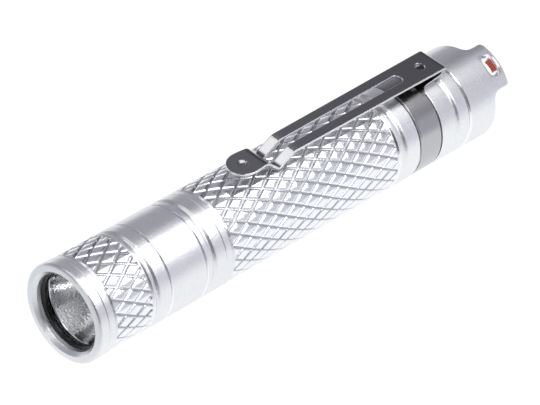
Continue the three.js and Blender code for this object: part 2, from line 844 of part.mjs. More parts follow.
// Bezel and optics
addPiece('bezel', bezel(), 'aluminium');
addPiece('lens_seal', sealRing(
  lensBore - sealGap, sealSection, lipDepth + (sealSection + sealGap) / 2,
), 'rubber');
addPiece('lens', disc(lensRadius, lensFront, lensFront + lensThickness, plainFacets), 'glass');
addPiece('reflector', reflector(), 'mirror');

// Light engine in the head
addPiece('led_gasket', ring(
  reflectorThroat, reflectorThroat + gasketWall, reflectorBase + seatGap, ledBoardFront - seatGap,
), 'whitePlastic');
addPiece('led_dome', ledDome(), 'phosphor');
addPiece('led_package', block(
  ledPackageSide, ledPackageSide, ledBoardFront - ledPackageHeight - seatGap, ledBoardFront - seatGap,
), 'whitePlastic');
addPiece('led_board', ledBoard(), 'copper');
addPiece('led_lead_positive', lead(1), 'redWire');
addPiece('led_lead_negative', lead(-1), 'blackPlastic');
addPiece('head_housing', headHousing(), 'aluminium');
addPiece('bezel_o_ring', sealRing(sealOuter, ringSection, bezelRear - ringMiddle), 'rubber');
addPiece('driver_inductor', rod(
  inductorRadius, driverSide - inductorHeight, driverSide, ...onDriver(inductorTurn), smallFacets,
), 'blackPlastic');
addPiece('driver_chip', block(
  chipSide, chipSide, driverSide - chipHeight, driverSide, ...onDriver(chipTurn),
), 'blackPlastic');
addPiece('driver_capacitor', block(
  capacitorSide, capacitorSide, driverSide - capacitorHeight, driverSide, ...onDriver(capacitorTurn),
), 'copper');
addPiece('driver_board', disc(driverRadius, driverFront, driverRear), 'circuit');
addPiece('driver_retaining_ring', ring(
  driverRadius - driverRingWidth, driverRadius, driverRear + seatGap, driverRingRear,
), 'brass');
addPiece('positive_contact_spring', contactSpring(frontSpringRadius, driverRear, cellFront), 'brass');

// Body tube and cell
addPiece('body_tube', bodyTube(), 'aluminium');
addPiece('head_o_ring', sealRing(sealOuter, ringSection, headRear - ringMiddle), 'rubber');
addPiece('battery_positive_cap', disc(nubRadius, cellFront, cellCanFront - seatGap), 'steel');
addPiece('battery_can', disc(cellRadius - sleeveThickness - seatGap, cellCanFront, cellRear), 'steel');
addPiece('battery_sleeve', ring(cellRadius - sleeveThickness, cellRadius, cellCanFront, cellRear), 'sleeve');

// Pocket clip
addPiece('clip_band', clipBand(), 'clipSteel');
addPiece('clip_arm', clipArm(), 'clipSteel');

// Tail cap and switch
addPiece('tail_contact_spring', contactSpring(rearSpringRadius, switchBoardFront, cellRear), 'brass');
addPiece('switch_retaining_ring', ring(
  switchBoardRadius - retainerWidth, switchBoardRadius,
  switchBoardFront - retainerThickness, switchBoardFront - seatGap,
), 'brass');
addPiece('switch_board', disc(switchBoardRadius, switchBoardFront, switchBoardRear), 'circuit');
addPiece('switch_housing', switchHousing(), 'blackPlastic');
addPiece('switch_plunger', disc(plungerRadius, plungerFront, plungerRear, smallFacets), 'whitePlastic');
addPiece('boot_washer', ring(
  plungerRadius + plungerGap, switchBoardRadius, switchRear + seatGap, washerRear,
), 'steel');
addPiece('switch_boot', switchBoot(), 'silicone');
addPiece('tail_cap', tailCap(), 'aluminium');
addPiece('tail_o_ring', sealRing(sealOuter, ringSection, tubeRear - ringMiddle), 'rubber');

const model = new THREE.Group();
model.add(light);
model.updateMatrixWorld(true);

export default model;
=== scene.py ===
"""Looks of a slim aluminium pocket flashlight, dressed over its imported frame.

Every size below is in millimetres and every station counts from the flat front rim towards the tail,
until a mesh is made: then it goes to metres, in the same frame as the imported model.
"""
import json
import logging
import math
from dataclasses import dataclass
from enum import Enum
from typing import Callable, Dict, List, Optional, Sequence, Tuple, Union

import bmesh
import bpy
import numpy as np
from mathutils import Matrix, Vector


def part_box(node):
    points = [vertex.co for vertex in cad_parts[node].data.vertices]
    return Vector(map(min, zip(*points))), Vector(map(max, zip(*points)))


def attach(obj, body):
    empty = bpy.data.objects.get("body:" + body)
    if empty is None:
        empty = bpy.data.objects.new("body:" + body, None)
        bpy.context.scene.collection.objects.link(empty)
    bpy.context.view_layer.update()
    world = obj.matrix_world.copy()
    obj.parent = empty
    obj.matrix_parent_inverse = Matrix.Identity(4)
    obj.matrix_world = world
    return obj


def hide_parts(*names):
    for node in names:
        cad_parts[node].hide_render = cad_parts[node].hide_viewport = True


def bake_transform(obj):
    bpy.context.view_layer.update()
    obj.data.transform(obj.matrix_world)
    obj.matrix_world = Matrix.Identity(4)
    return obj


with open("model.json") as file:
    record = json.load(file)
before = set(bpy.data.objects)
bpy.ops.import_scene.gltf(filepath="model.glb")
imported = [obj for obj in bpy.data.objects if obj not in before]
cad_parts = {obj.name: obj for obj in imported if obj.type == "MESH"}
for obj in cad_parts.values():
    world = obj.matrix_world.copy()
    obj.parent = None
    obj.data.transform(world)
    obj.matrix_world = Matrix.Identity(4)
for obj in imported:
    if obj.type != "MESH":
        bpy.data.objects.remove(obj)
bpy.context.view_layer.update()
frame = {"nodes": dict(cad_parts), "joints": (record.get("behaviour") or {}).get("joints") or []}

LOG = logging.getLogger("flashlight")
MM = 0.001
FULL_TURN = 2 * math.pi
QUARTER_TURN = math.pi / 2
TINY = 1e-6

Array = np.ndarray
Triple = Tuple[float, float, float]
Colour = Triple
Piece = bpy.types.Object
Tree = bpy.types.NodeTree
Socket = bpy.types.NodeSocket


class Slot(Enum):
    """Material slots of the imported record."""

    ALUMINIUM = "bare_aluminium"
    CLIP = "clip_steel"
    GLASS = "lens_glass"
    RUBBER = "seal_rubber"
    MIRROR = "reflector_mirror"
    SILICONE = "boot_silicone"
    WHITE = "white_plastic"
    PHOSPHOR = "phosphor"


class Mark(Enum):
    """Point attributes that the finishes read."""

    # Freshly cut metal on the aluminium; on the clip the same mark paints highlights.
    BRIGHT = "machined"
    # Painted shade: the knurl's grooves, the clip tab's top and the clip band under the arm.
    RECESS = "recess"


@dataclass(frozen=True)
class Axis:
    """The barrel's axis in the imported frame."""

    front: float
    height: float

    @classmethod
    def from_frame(cls) -> "Axis":
        """Reads the front rim from the bezel's box and the height from the head's screw joint."""
        turn = next(joint for joint in frame["joints"] if joint["name"] == "head_turn")
        return cls(front=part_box("bezel")[0].x, height=turn["pos_m"][2])

    def station(self, x: float) -> float:
        """Gives the station in millimetres of a point at x metres."""
        return (x - self.front) / MM

    def span(self, node: str) -> Tuple[float, float]:
        """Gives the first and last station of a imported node."""
        low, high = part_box(node)
        return self.station(low.x), self.station(high.x)

    def reach(self, node: str) -> float:
        """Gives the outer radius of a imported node, from the top of its box."""
        return (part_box(node)[1].z - self.height) / MM

    def point(self, station: float) -> Triple:
        """Gives the axis's point at a station, in metres."""
        return self.front + station * MM, 0.0, self.height

    def place(self, station: Array, across: Array, up: Array) -> Array:
        """Turns stations and offsets from the axis into points in metres.

        Args:
            station: Distance from the front rim, in millimetres.
            across: Offset along +Y, in millimetres.
            up: Offset along +Z, in millimetres.

        Returns:
            An array of points, one row each.
        """
        parts = np.broadcast_arrays(station, across, up)
        x, y, z = (np.asarray(part, float) * MM for part in parts)
        return np.stack([x + self.front, y, z + self.height], axis=-1).reshape(-1, 3)

    def round(self, radius: Array, station: Array, angle: Array) -> Array:
        """Gives points at a radius and an angle, which counts from the top towards the near side."""
        return self.place(station, -radius * np.sin(angle), radius * np.cos(angle))


AXIS = Axis.from_frame()


@dataclass(frozen=True)
class Corner:
    """A corner of a turned profile.

    The fillet is its radius, spacing the step of the rows on the stretch that follows, bright the share
    of freshly cut metal at the corner and cut says whether a pattern may cut into that stretch.
    """

    radius: float
    station: float
    fillet: float = 0.0
    spacing: float = 0.0
    bright: float = 0.0
    cut: bool = False


@dataclass(frozen=True)
class Rows:
    """A profile as rows of radius and station, with the share of bright metal and of cut pattern."""

    radius: Array
    station: Array
    bright: Array
    cut: Array


FILLET_STEPS = np.linspace(0.0, 1.0, 5)
FILLET_LIMIT = 0.45
STRAIGHT_COSINE = 0.999
EDGE_REACH = 0.16
LONG_STRETCH = 4 * EDGE_REACH


def round_corner(before: Array, corner: Array, after: Array, fillet: float) -> Array:
    """Rounds one corner with a quadratic curve between its two tangent points.

    Args:
        before: The point before the corner.
        corner: The corner.
        after: The point after it.
        fillet: Radius of the rounding.

    Returns:
        The points of the curve, or the corner alone where there is no fillet.
    """
    back, ahead = before - corner, after - corner
    back_length, ahead_length = np.linalg.norm(back), np.linalg.norm(ahead)
    if fillet <= 0 or min(back_length, ahead_length) < TINY:
        return corner[None, :]
    cosine = np.clip(back @ ahead / (back_length * ahead_length), -STRAIGHT_COSINE, STRAIGHT_COSINE)
    reach = fillet / math.tan(math.acos(cosine) / 2)
    reach = min(reach, FILLET_LIMIT * back_length, FILLET_LIMIT * ahead_length)
    start = corner + back / back_length * reach
    end = corner + ahead / ahead_length * reach
    t = FILLET_STEPS[:, None]
    return (1 - t) ** 2 * start + 2 * t * (1 - t) * corner + t ** 2 * end


def profile_rows(corners: Sequence[Corner], closed: bool = True) -> Rows:
    """Works out a profile's rows: rounded corners, and even rows where a stretch asks for them.

    A long plain stretch gets a row near each end, so that the bright metal of a corner stays at the corner.

    Args:
        corners: The corners in order.
        closed: Whether the last corner joins the first.

    Returns:
        The rows of the profile.
    """
    points = np.array([(c.radius, c.station) for c in corners], float)
    count = len(corners)
    pieces: List[Array] = []
    for i, corner in enumerate(corners):
        inner = closed or 0 < i < count - 1
        fillet = corner.fillet if inner else 0.0
        curve = round_corner(points[i - 1], points[i], points[(i + 1) % count], fillet)
        marks = np.full((len(curve), 2), (corner.bright, 0.0))
        pieces.append(np.hstack([curve, marks]))
        if not closed and i == count - 1:
            break
        following = corners[(i + 1) % count]
        stretch = points[(i + 1) % count] - points[i]
        length = np.linalg.norm(stretch)
        steps = np.zeros(0)
        if corner.spacing > 0:
            steps = np.arange(corner.spacing, length, corner.spacing)
        elif length > LONG_STRETCH and max(corner.fillet, following.fillet) < EDGE_REACH:
            steps = np.array([EDGE_REACH, length - EDGE_REACH])
        line = points[i] + steps[:, None] * stretch / max(length, TINY)
        marks = np.full((len(line), 2), (0.0, float(corner.cut)))
        pieces.append(np.hstack([line, marks]))
    table = np.vstack(pieces)
    return Rows(*table.T)


def ease(value: Array, start: float, stop: float) -> Array:
    """Gives a smooth step from 0 at one place to 1 at another: half a cosine wave."""
    return (1 - np.cos(math.pi * np.clip((start - value) / (start - stop), 0, 1))) / 2


def grid_faces(rows: int, columns: int, wrap_rows: bool, wrap_columns: bool) -> Array:
    """Gives the quads of a grid of points numbered row by row.

    Args:
        rows: Number of rows.
        columns: Number of columns.
        wrap_rows: Whether the last row joins the first.
        wrap_columns: Whether the last column joins the first.

    Returns:
        An array of four point numbers per quad.
    """
    r = np.arange(rows if wrap_rows else rows - 1)[:, None]
    c = np.arange(columns if wrap_columns else columns - 1)[None, :]
    r_next, c_next = (r + 1) % rows, (c + 1) % columns
    quads = np.stack(np.broadcast_arrays(
        r * columns + c, r * columns + c_next, r_next * columns + c_next, r_next * columns + c), axis=-1)
    return quads.reshape(-1, 4)


SHARP_ANGLE = math.radians(38)
STRIP_SHARP_ANGLE = math.radians(50)
DOME_SHARP_ANGLE = math.radians(60)
WELD = 2e-7


def new_object(name: str, data: bpy.types.ID) -> Piece:
    """Puts an object at the scene's origin.

    Args:
        name: Name of the object.
        data: Its mesh, lamp or camera.

    Returns:
        The new object.
    """
    thing = bpy.data.objects.new(name, data)
    bpy.context.scene.collection.objects.link(thing)
    return thing


def add_mesh(name: str, points: Array, faces: Array, caps: Sequence[Sequence[int]] = (),
             sharp: float = SHARP_ANGLE, bright: Optional[Array] = None,
             recess: Optional[Array] = None) -> Piece:
    """Makes a closed mesh object at the origin, welded and with its faces turned outwards.

    Args:
        name: Name of the piece.
        points: Points in metres.
        faces: Quads.
        caps: Further faces with any number of corners.
        sharp: Angle past which an edge stays sharp.
        bright: Share of freshly cut metal, on the clip painted highlight, one value per point.
        recess: Share of painted shade, one value per point.

    Returns:
        The new object.
    """
    mesh = bpy.data.meshes.new(name)
    mesh.from_pydata(points.tolist(), [], faces.tolist() + [list(cap) for cap in caps])
    for mark, values in ((Mark.BRIGHT, bright), (Mark.RECESS, recess)):
        if values is not None:
            attribute = mesh.attributes.new(mark.value, "FLOAT", "POINT")
            attribute.data.foreach_set("value", np.asarray(values, np.float32).ravel())
    shape = bmesh.new()
    shape.from_mesh(mesh)
    bmesh.ops.remove_doubles(shape, verts=shape.verts, dist=WELD)
    bmesh.ops.dissolve_degenerate(shape, edges=shape.edges, dist=WELD)
    bmesh.ops.recalc_face_normals(shape, faces=shape.faces)
    if shape.calc_volume(signed=True) < 0:
        bmesh.ops.reverse_faces(shape, faces=shape.faces)
    shape.to_mesh(mesh)
    shape.free()
    piece = new_object(name, mesh)
    shade(piece, sharp)
    return piece


def shade(piece: Piece, sharp: float) -> None:
    """Shades a mesh smooth, apart from its edges past an angle."""
    piece.data.shade_smooth()
    piece.data.set_sharp_from_angle(angle=sharp)


def apply_modifiers(piece: Piece) -> None:
    """Bakes a piece's modifiers into its mesh.

    Args:
        piece: The piece.
    """
    graph = bpy.context.evaluated_depsgraph_get()
    mesh = bpy.data.meshes.new_from_object(piece.evaluated_get(graph))
    piece.modifiers.clear()
    piece.data = mesh
    shade(piece, SHARP_ANGLE)


def read_values(items: bpy.types.bpy_prop_collection, name: str, width: int = 1, kind: type = float) -> Array:
    """Reads one property of a mesh's points, corners or faces.

    Args:
        items: The points, corners or faces.
        name: Name of the property.
        width: How many numbers each item has.
        kind: Type of the numbers.

    Returns:
        One number per item, or one row where an item has several.
    """
    values = np.empty(len(items) * width, kind)
    items.foreach_get(name, values)
    return values.reshape(-1, width) if width > 1 else values


HASH_STEPS = (12.9898, 78.233)
HASH_GAINS = (43758.5453, 24634.6345)
HASH_SHIFT = 1.7


@dataclass(frozen=True)
class Knurl:
    """Diamond knurl: two families of helical V-grooves round flat pads.

    The phase of a family counts its grooves: starts times the angle over a full turn, plus or minus the
    station over the pitch. The depth falls off in a straight line from the nearest groove's middle.
    """

    origin: float
    pad_radius: float
    starts: int = 22
    pitch: float = 4.38
    depth: float = 0.27
    half_width: float = 0.125
    tilt: float = 0.05
    crown: float = 0.10
    lattice: int = 16

    @property
    def columns(self) -> int:
        """Columns round the axis, so that the grooves run through the corners of the grid."""
        return self.starts * self.lattice

    @property
    def spacing(self) -> float:
        """Step between the rows of the same grid."""
        return self.pitch / self.lattice

    def phases(self, angle: Array, station: Array) -> Tuple[Array, Array]:
        """Gives the phases of the two families of grooves.

        Args:
            angle: Angles about the axis.
            station: Stations along it.

        Returns:
            The phase of the rising family and that of the falling one.
        """
        turn = self.starts * angle / FULL_TURN
        climb = (station - self.origin) / self.pitch
        return turn + climb, turn - climb

    def distance(self, angle: Array, station: Array) -> Array:
        """Gives the distance to the nearest groove's middle, as a share of the grooves' spacing."""
        rising, falling = self.phases(angle, station)
        return np.minimum(np.abs(rising - np.round(rising)), np.abs(falling - np.round(falling)))

    def groove(self, angle: Array, station: Array) -> Array:
        """Gives 1 in the middle of a groove and 0 on a pad."""
        return np.clip(1 - self.distance(angle, station) / self.half_width, 0, 1)

    def surface(self, angle: Array, station: Array) -> Array:
        """Gives the radius: a slightly tilted pad, a low pyramid over its diamond, less the groove.

        The tilt of a pad comes from a sine hash of the pad's two numbers, so it is the same each run.

        Args:
            angle: Angles about the axis.
            station: Stations along it.

        Returns:
            The radii.
        """
        rising, falling = self.phases(angle, station)
        row, ring = np.floor(rising), np.floor(falling)
        across, along = rising - row - 0.5, falling - ring - 0.5
        seed = (row - ring) * HASH_STEPS[0] + np.mod(row + ring, 2 * self.starts) * HASH_STEPS[1]
        first = np.mod(np.sin(seed) * HASH_GAINS[0], 1.0) - 0.5
        second = np.mod(np.sin(seed + HASH_SHIFT) * HASH_GAINS[1], 1.0) - 0.5
        lean = self.tilt * (first * across + second * along)
        swell = self.crown * (1 - 2 * self.distance(angle, station))
        return self.pad_radius + lean - swell - self.depth * self.groove(angle, station)


@dataclass(frozen=True)
class KnurlBand:
    """A knurled stretch of a turned piece.

    From the front it has a ring that ends in a fine line, a step down to the knurl's root, a run-in, the
    knurl itself, and a step behind it whose far edge is bright.
    """

    barrel: float
    ring: float
    line: float
    front: float
    rear: float
    line_depth: float
    ring_drop: float
    run_in: float
    rise: float
    bright: float
    line_lead: float = 0.08
    line_run: float = 0.14
    line_fillet: float = 0.02
    step_lead: float = 0.2
    step_fillet: float = 0.03
    front_root: float = 0.18
    run_out: float = 0.3
    rear_root: float = 0.25
    rear_fillet: float = 0.05
    rear_bright: float = 0.6

    @property
    def knurl(self) -> Knurl:
        """The knurl, which starts behind the run-in."""
        return Knurl(origin=self.front + self.run_in, pad_radius=self.barrel)

    def corners(self) -> List[Corner]:
        """Gives the stretch's profile.

        Returns:
            The corners from front to rear.
        """
        ledge = self.ring - self.ring_drop
        return [
            Corner(self.ring, self.line - self.line_lead, self.line_fillet),
            Corner(self.ring - self.line_depth, self.line, self.line_fillet),
            Corner(ledge, self.line + self.line_run, self.line_fillet),
            Corner(ledge, self.front - self.step_lead, self.step_fillet),
            Corner(self.barrel - self.front_root, self.front, self.step_fillet),
            Corner(self.barrel, self.knurl.origin, spacing=self.knurl.spacing, cut=True),
            Corner(self.barrel, self.rear - self.run_out),
            Corner(self.barrel - self.rear_root, self.rear, self.rear_fillet, bright=self.rear_bright),
            Corner(self.barrel, self.rear + self.rise, self.rear_fillet, bright=self.bright),
        ]


@dataclass(frozen=True)
class Chamfer:
    """A chamfer at a turned end, with its share of freshly cut metal and the fillets of its two corners."""

    width: float
    bright: float
    outer_fillet: float = 0.05
    inner_fillet: float = 0.04

    def front(self, radius: float, station: float) -> List[Corner]:
        """Gives the corners at a front end, from its face outwards."""
        return [Corner(radius - self.width, station, self.inner_fillet, bright=self.bright),
                Corner(radius, station + self.width, self.outer_fillet, bright=self.bright)]

    def rear(self, radius: float, station: float) -> List[Corner]:
        """Gives the corners at a rear end, from outside to its face."""
        return [Corner(radius, station - self.width, self.outer_fillet, bright=self.bright),
                Corner(radius - self.width, station, self.inner_fillet, bright=self.bright)]


@dataclass(frozen=True)
class Thread:
    """A right-hand thread on a neck: a rounded ridge whose middle climbs one pitch in a turn.

    The ridge's section is a triangle of the given crest and flank, cut flat at the full height.
    """

    start: float
    end: float
    core: float
    height: float = 0.25
    pitch: float = 1.0
    run_out: float = 0.6
    crest: float = 1.35
    flank: float = 3.4

    def surface(self, angle: Array, station: Array) -> Array:
        """Gives the radius: the core and a ridge that fades at both ends.

        Args:
            angle: Angles about the axis.
            station: Stations along it.

        Returns:
            The radii.
        """
        phase = (station - self.start) / self.pitch - angle / FULL_TURN
        ridge = np.clip(self.crest - self.flank * np.abs(phase - np.round(phase)), 0, 1)
        fade = np.clip(np.minimum(station - self.start, self.end - station) / self.run_out, 0, 1)
        return self.core + self.height * ridge * fade

    def cut(self, radius: Array, station: Array, angle: Array) -> Array:
        """Puts the thread on those rows of a neck that lie on its core.

        Args:
            radius: Radii of the plain rows.
            station: Their stations.
            angle: Angles about the axis.

        Returns:
            The radii with the thread.
        """
        inside = (np.abs(radius - self.core) < TINY) & (station >= self.start) & (station <= self.end)
        return np.where(inside, self.surface(angle, station), radius)


KNURL_BRIGHTNESS = 0.75
PLAIN_COLUMNS = 256
RING_COLUMNS = 192
RING_SECTION_POINTS = 32
GROOVE_POINTS = 13
GROOVE_WIDTH = 1.35
GROOVE_DEPTH = 0.36


def turned(name: str, corners: Sequence[Corner], columns: int, knurl: Optional[Knurl] = None,
           thread: Optional[Thread] = None, sharp: float = SHARP_ANGLE) -> Piece:
    """Turns a closed profile about the axis, with a knurl or a thread where its rows ask for one.

    A knurled row takes the smaller of its own radius and the knurl's, so the knurl runs out on a chamfer.

    Args:
        name: Name of the piece.
        corners: The profile.
        columns: Columns round the axis.
        knurl: Knurl for the rows that may be cut.
        thread: Thread, told by its stretch and core radius.
        sharp: Angle past which an edge stays sharp.

    Returns:
        The new object.
    """
    rows = profile_rows(corners)
    angle = np.arange(columns)[None, :] * FULL_TURN / columns
    station = rows.station[:, None]
    radius, bright = (np.repeat(values[:, None], columns, axis=1) for values in (rows.radius, rows.bright))
    recess = np.zeros_like(radius)
    if knurl is not None:
        cut = rows.cut[:, None] > 0
        radius = np.where(cut, np.minimum(radius, knurl.surface(angle, station)), radius)
        bright = np.where(cut, KNURL_BRIGHTNESS, bright)
        # Painted shade: the knurl's grooves are darkened.
        recess = np.where(cut, knurl.groove(angle, station), recess)
    if thread is not None:
        radius = thread.cut(radius, station, angle)
    points = AXIS.round(radius, station, angle)
    faces = grid_faces(*radius.shape, True, True)
    return add_mesh(name, points, faces, sharp=sharp, bright=bright, recess=recess)


def torus(name: str, outer: float, section: float, station: float) -> Piece:
    """Makes a ring of round section that reaches the outer radius, from a circle turned about the axis.

    Args:
        name: Name of the piece.
        outer: Outer radius.
        section: Diameter of the section.
        station: Station of its middle.

    Returns:
        The new object.
    """
    half = section / 2
    turn = np.linspace(0, FULL_TURN, RING_SECTION_POINTS, endpoint=False)
    corners = [Corner(outer - half + half * math.cos(t), station + half * math.sin(t)) for t in turn]
    return turned(name, corners, RING_COLUMNS)


def soft_groove(station: float, radius: float, width: float = GROOVE_WIDTH,
                depth: float = GROOVE_DEPTH) -> List[Corner]:
    """Gives the corners of a turned groove of rounded section: a cosine dip from edge to edge."""
    return [Corner(radius - depth * (1 + math.cos(math.pi * share)) / 2, station + share * width / 2)
            for share in np.linspace(-1, 1, GROOVE_POINTS)]


Operand = Union[Socket, float]
Paint = Union[Socket, Colour]
MIX_SIDES = (6, 7)
MIX_RESULT = 2


def new_group(name: str, inputs: Sequence[Tuple[str, float]], outputs: Sequence[str]) -> Tree:
    """Starts a shader node group whose inputs and outputs are plain numbers.

    Args:
        name: Name of the group.
        inputs: Names and default values of the inputs.
        outputs: Names of the outputs.

    Returns:
        The node tree, with its input and output nodes.
    """
    tree = bpy.data.node_groups.new(name, "ShaderNodeTree")
    for label, value in inputs:
        tree.interface.new_socket(label, in_out="INPUT", socket_type="NodeSocketFloat").default_value = value
    for label in outputs:
        tree.interface.new_socket(label, in_out="OUTPUT", socket_type="NodeSocketFloat")
    tree.nodes.new("NodeGroupInput").name = "In"
    tree.nodes.new("NodeGroupOutput").name = "Out"
    return tree


def maths(tree: Tree, operation: str, *operands: Operand, clamp: bool = False) -> Socket:
    """Adds a Math node.

    Args:
        tree: The node tree.
        operation: What the node works out.
        operands: Sockets or numbers, in order.
        clamp: Whether the result stays between 0 and 1.

    Returns:
        The node's output.
    """
    node = tree.nodes.new("ShaderNodeMath")
    node.operation, node.use_clamp = operation, clamp
    for slot, operand in zip(node.inputs, operands):
        if isinstance(operand, (int, float)):
            slot.default_value = operand
        else:
            tree.links.new(operand, slot)
    return node.outputs[0]


def mix_colours(tree: Tree, first: Paint, second: Paint, share: Socket) -> Socket:
    """Adds a colour Mix node.

    Args:
        tree: The node tree.
        first: Socket or colour where the share is 0.
        second: Socket or colour where the share is 1.
        share: Socket with the share.

    Returns:
        The socket with the mixed colour.
    """
    node = tree.nodes.new("ShaderNodeMix")
    node.data_type = "RGBA"
    for number, side in zip(MIX_SIDES, (first, second)):
        if isinstance(side, tuple):
            node.inputs[number].default_value = (*side, 1.0)
        else:
            tree.links.new(side, node.inputs[number])
    tree.links.new(share, node.inputs[0])
    return node.outputs[MIX_RESULT]


def colour_ramp(tree: Tree, share: Socket, stops: Sequence[Tuple[float, Colour]]) -> Socket:
    """Adds a colour ramp.

    Args:
        tree: The node tree.
        share: Socket with the place on the ramp.
        stops: Places from 0 to 1, in order, with their colours.

    Returns:
        The socket with the colour.
    """
    ramp = tree.nodes.new("ShaderNodeValToRGB")
    elements = ramp.color_ramp.elements
    while len(elements) < len(stops):
        elements.new(0.5)
    for element, (place, colour) in zip(elements, stops):
        element.position, element.color = place, (*colour, 1)
    tree.links.new(share, ramp.inputs[0])
    return ramp.outputs[0]


class Effects:
    """The shader effects that several finishes share, each built once."""

    FINE_DETAIL = 3.0
    PLAIN_DETAIL = 2.0
    FINE_SHARE = 0.6

    def __init__(self) -> None:
        """Builds the node groups."""
        self.grain = self._grain()
        self.edge_shade_masks = self._edge_shade_masks()

    @staticmethod
    def _noise(tree: Tree, scale: str, detail: float) -> Socket:
        """Adds noise on Object coordinates.

        Args:
            tree: The node group.
            scale: Name of the group's input that gives the scale.
            detail: Detail of the noise.

        Returns:
            The socket with the noise.
        """
        noise = tree.nodes.new("ShaderNodeTexNoise")
        noise.inputs["Detail"].default_value = detail
        tree.links.new(tree.nodes.new("ShaderNodeTexCoord").outputs["Object"], noise.inputs["Vector"])
        tree.links.new(tree.nodes["In"].outputs[scale], noise.inputs["Scale"])
        return noise.outputs["Fac"]

    @classmethod
    def _grain(cls) -> Tree:
        """Makes fine grain: small noise for the height, and the same with a slow cloud for the tone.

        Returns:
            The node group.
        """
        tree = new_group("surface_grain", [("Scale", 4000.0), ("Cloud", 120.0)], ["Height", "Tone"])
        fine = cls._noise(tree, "Scale", cls.FINE_DETAIL)
        cloud = maths(tree, "MULTIPLY", cls._noise(tree, "Cloud", cls.PLAIN_DETAIL), 1 - cls.FINE_SHARE)
        tone = maths(tree, "MULTIPLY_ADD", fine, cls.FINE_SHARE, cloud)
        tree.links.new(fine, tree.nodes["Out"].inputs["Height"])
        tree.links.new(tone, tree.nodes["Out"].inputs["Tone"])
        return tree

    @classmethod
    def _edge_shade_masks(cls) -> Tree:
        """Makes bright edges (on the clip painted highlight) and painted shade: the piece's marks, broken by
        noise.

        Returns:
            The node group.
        """
        tree = new_group("edge_wear", [("Breakup", 900.0), ("Amount", 0.3)], ["Bright", "Dirt"])
        noise = cls._noise(tree, "Breakup", cls.PLAIN_DETAIL)
        scatter = maths(tree, "MULTIPLY", noise, tree.nodes["In"].outputs["Amount"])
        keep = maths(tree, "SUBTRACT", 1.0, scatter)
        # The first mask is freshly cut metal on the aluminium and painted highlight on the clip; the second
        # is painted shade.
        for mark, label in ((Mark.BRIGHT, "Bright"), (Mark.RECESS, "Dirt")):
            reader = tree.nodes.new("ShaderNodeAttribute")
            reader.attribute_name = mark.value
            value = maths(tree, "MULTIPLY", reader.outputs["Fac"], keep, clamp=True)
            tree.links.new(value, tree.nodes["Out"].inputs[label])
        return tree


@dataclass(frozen=True)
class Finish:
    """A surface finish: colour, shine, and grain that varies the tone, the roughness and the relief."""

    name: str
    colour: Colour
    metallic: float = 0.0
    roughness: float = 0.5
    roughness_spread: float = 0.1
    tone_spread: float = 0.08
    grain: float = 2600.0
    cloud: float = 200.0
    relief: float = 0.1
    relief_depth: float = 0.01
    # Colour of freshly cut metal; on the clip it paints highlights.
    bright_colour: Optional[Colour] = None
    bright_roughness: float = 0.15
    # Colour of the painted shade in recesses.
    painted_shade_colour: Optional[Colour] = None
    coat: float = 0.0
    coat_roughness: float = 0.08
    transmission: float = 0.0
    ior: float = 1.45

    def build(self, effects: Effects) -> bpy.types.Material:
        """Builds the material's nodes.

        Args:
            effects: The shared node groups.

        Returns:
            The material.
        """
        material = bpy.data.materials.new(self.name)
        material.use_nodes = True
        tree = material.node_tree
        shader = tree.nodes["Principled BSDF"]
        plain = {"Metallic": self.metallic, "IOR": self.ior, "Transmission Weight": self.transmission,
                 "Coat Weight": self.coat, "Coat Roughness": self.coat_roughness}
        for label, value in plain.items():
            shader.inputs[label].default_value = value
        grain = tree.nodes.new("ShaderNodeGroup")
        grain.node_tree = effects.grain
        grain.inputs["Scale"].default_value = self.grain
        grain.inputs["Cloud"].default_value = self.cloud
        bump = tree.nodes.new("ShaderNodeBump")
        bump.inputs["Strength"].default_value = self.relief
        bump.inputs["Distance"].default_value = self.relief_depth * MM
        edge_shade_masks = None
        if self.bright_colour is not None:
            edge_shade_masks = tree.nodes.new("ShaderNodeGroup")
            edge_shade_masks.node_tree = effects.edge_shade_masks
            dull = maths(tree, "SUBTRACT", 1.0, edge_shade_masks.outputs["Bright"])
            tree.links.new(maths(tree, "MULTIPLY", dull, self.relief), bump.inputs["Strength"])
        self._tone(tree, shader, grain, edge_shade_masks)
        tree.links.new(grain.outputs["Height"], bump.inputs["Height"])
        tree.links.new(bump.outputs["Normal"], shader.inputs["Normal"])
        return material

    def _tone(self, tree: Tree, shader: bpy.types.Node, grain: bpy.types.Node,
              edge_shade_masks: Optional[bpy.types.Node]) -> None:
        """Links colour and roughness: grain tone, bright edges (painted highlight on the clip), painted shade
        in recesses.

        Args:
            tree: The material's nodes.
            shader: The shader that takes the colour and the roughness.
            grain: The grain's group node.
            edge_shade_masks: The group node of the bright edges and the painted shade, or none.
        """
        colour = mix_colours(tree, self._shade(1 - self.tone_spread), self._shade(1 + self.tone_spread),
                             grain.outputs["Tone"])
        low = maths(tree, "MULTIPLY", grain.outputs["Height"], self.roughness_spread)
        rough = maths(tree, "ADD", low, self.roughness - self.roughness_spread / 2)
        if edge_shade_masks is not None:
            # Bright edges: freshly cut metal, and on the clip painted highlight.
            colour = mix_colours(tree, colour, self.bright_colour, edge_shade_masks.outputs["Bright"])
            step = maths(tree, "SUBTRACT", self.bright_roughness, rough)
            step = maths(tree, "MULTIPLY", step, edge_shade_masks.outputs["Bright"])
            rough = maths(tree, "ADD", rough, step)
            # Painted shade: the recess mask darkens the colour.
            if self.painted_shade_colour is not None:
                colour = mix_colours(tree, colour, self.painted_shade_colour, edge_shade_masks.outputs["Dirt"])
        tree.links.new(colour, shader.inputs["Base Color"])
        tree.links.new(rough, shader.inputs["Roughness"])

    def _shade(self, factor: float) -> Colour:
        """Gives the colour times a factor, at most 1."""
        return tuple(min(1.0, channel * factor) for channel in self.colour)


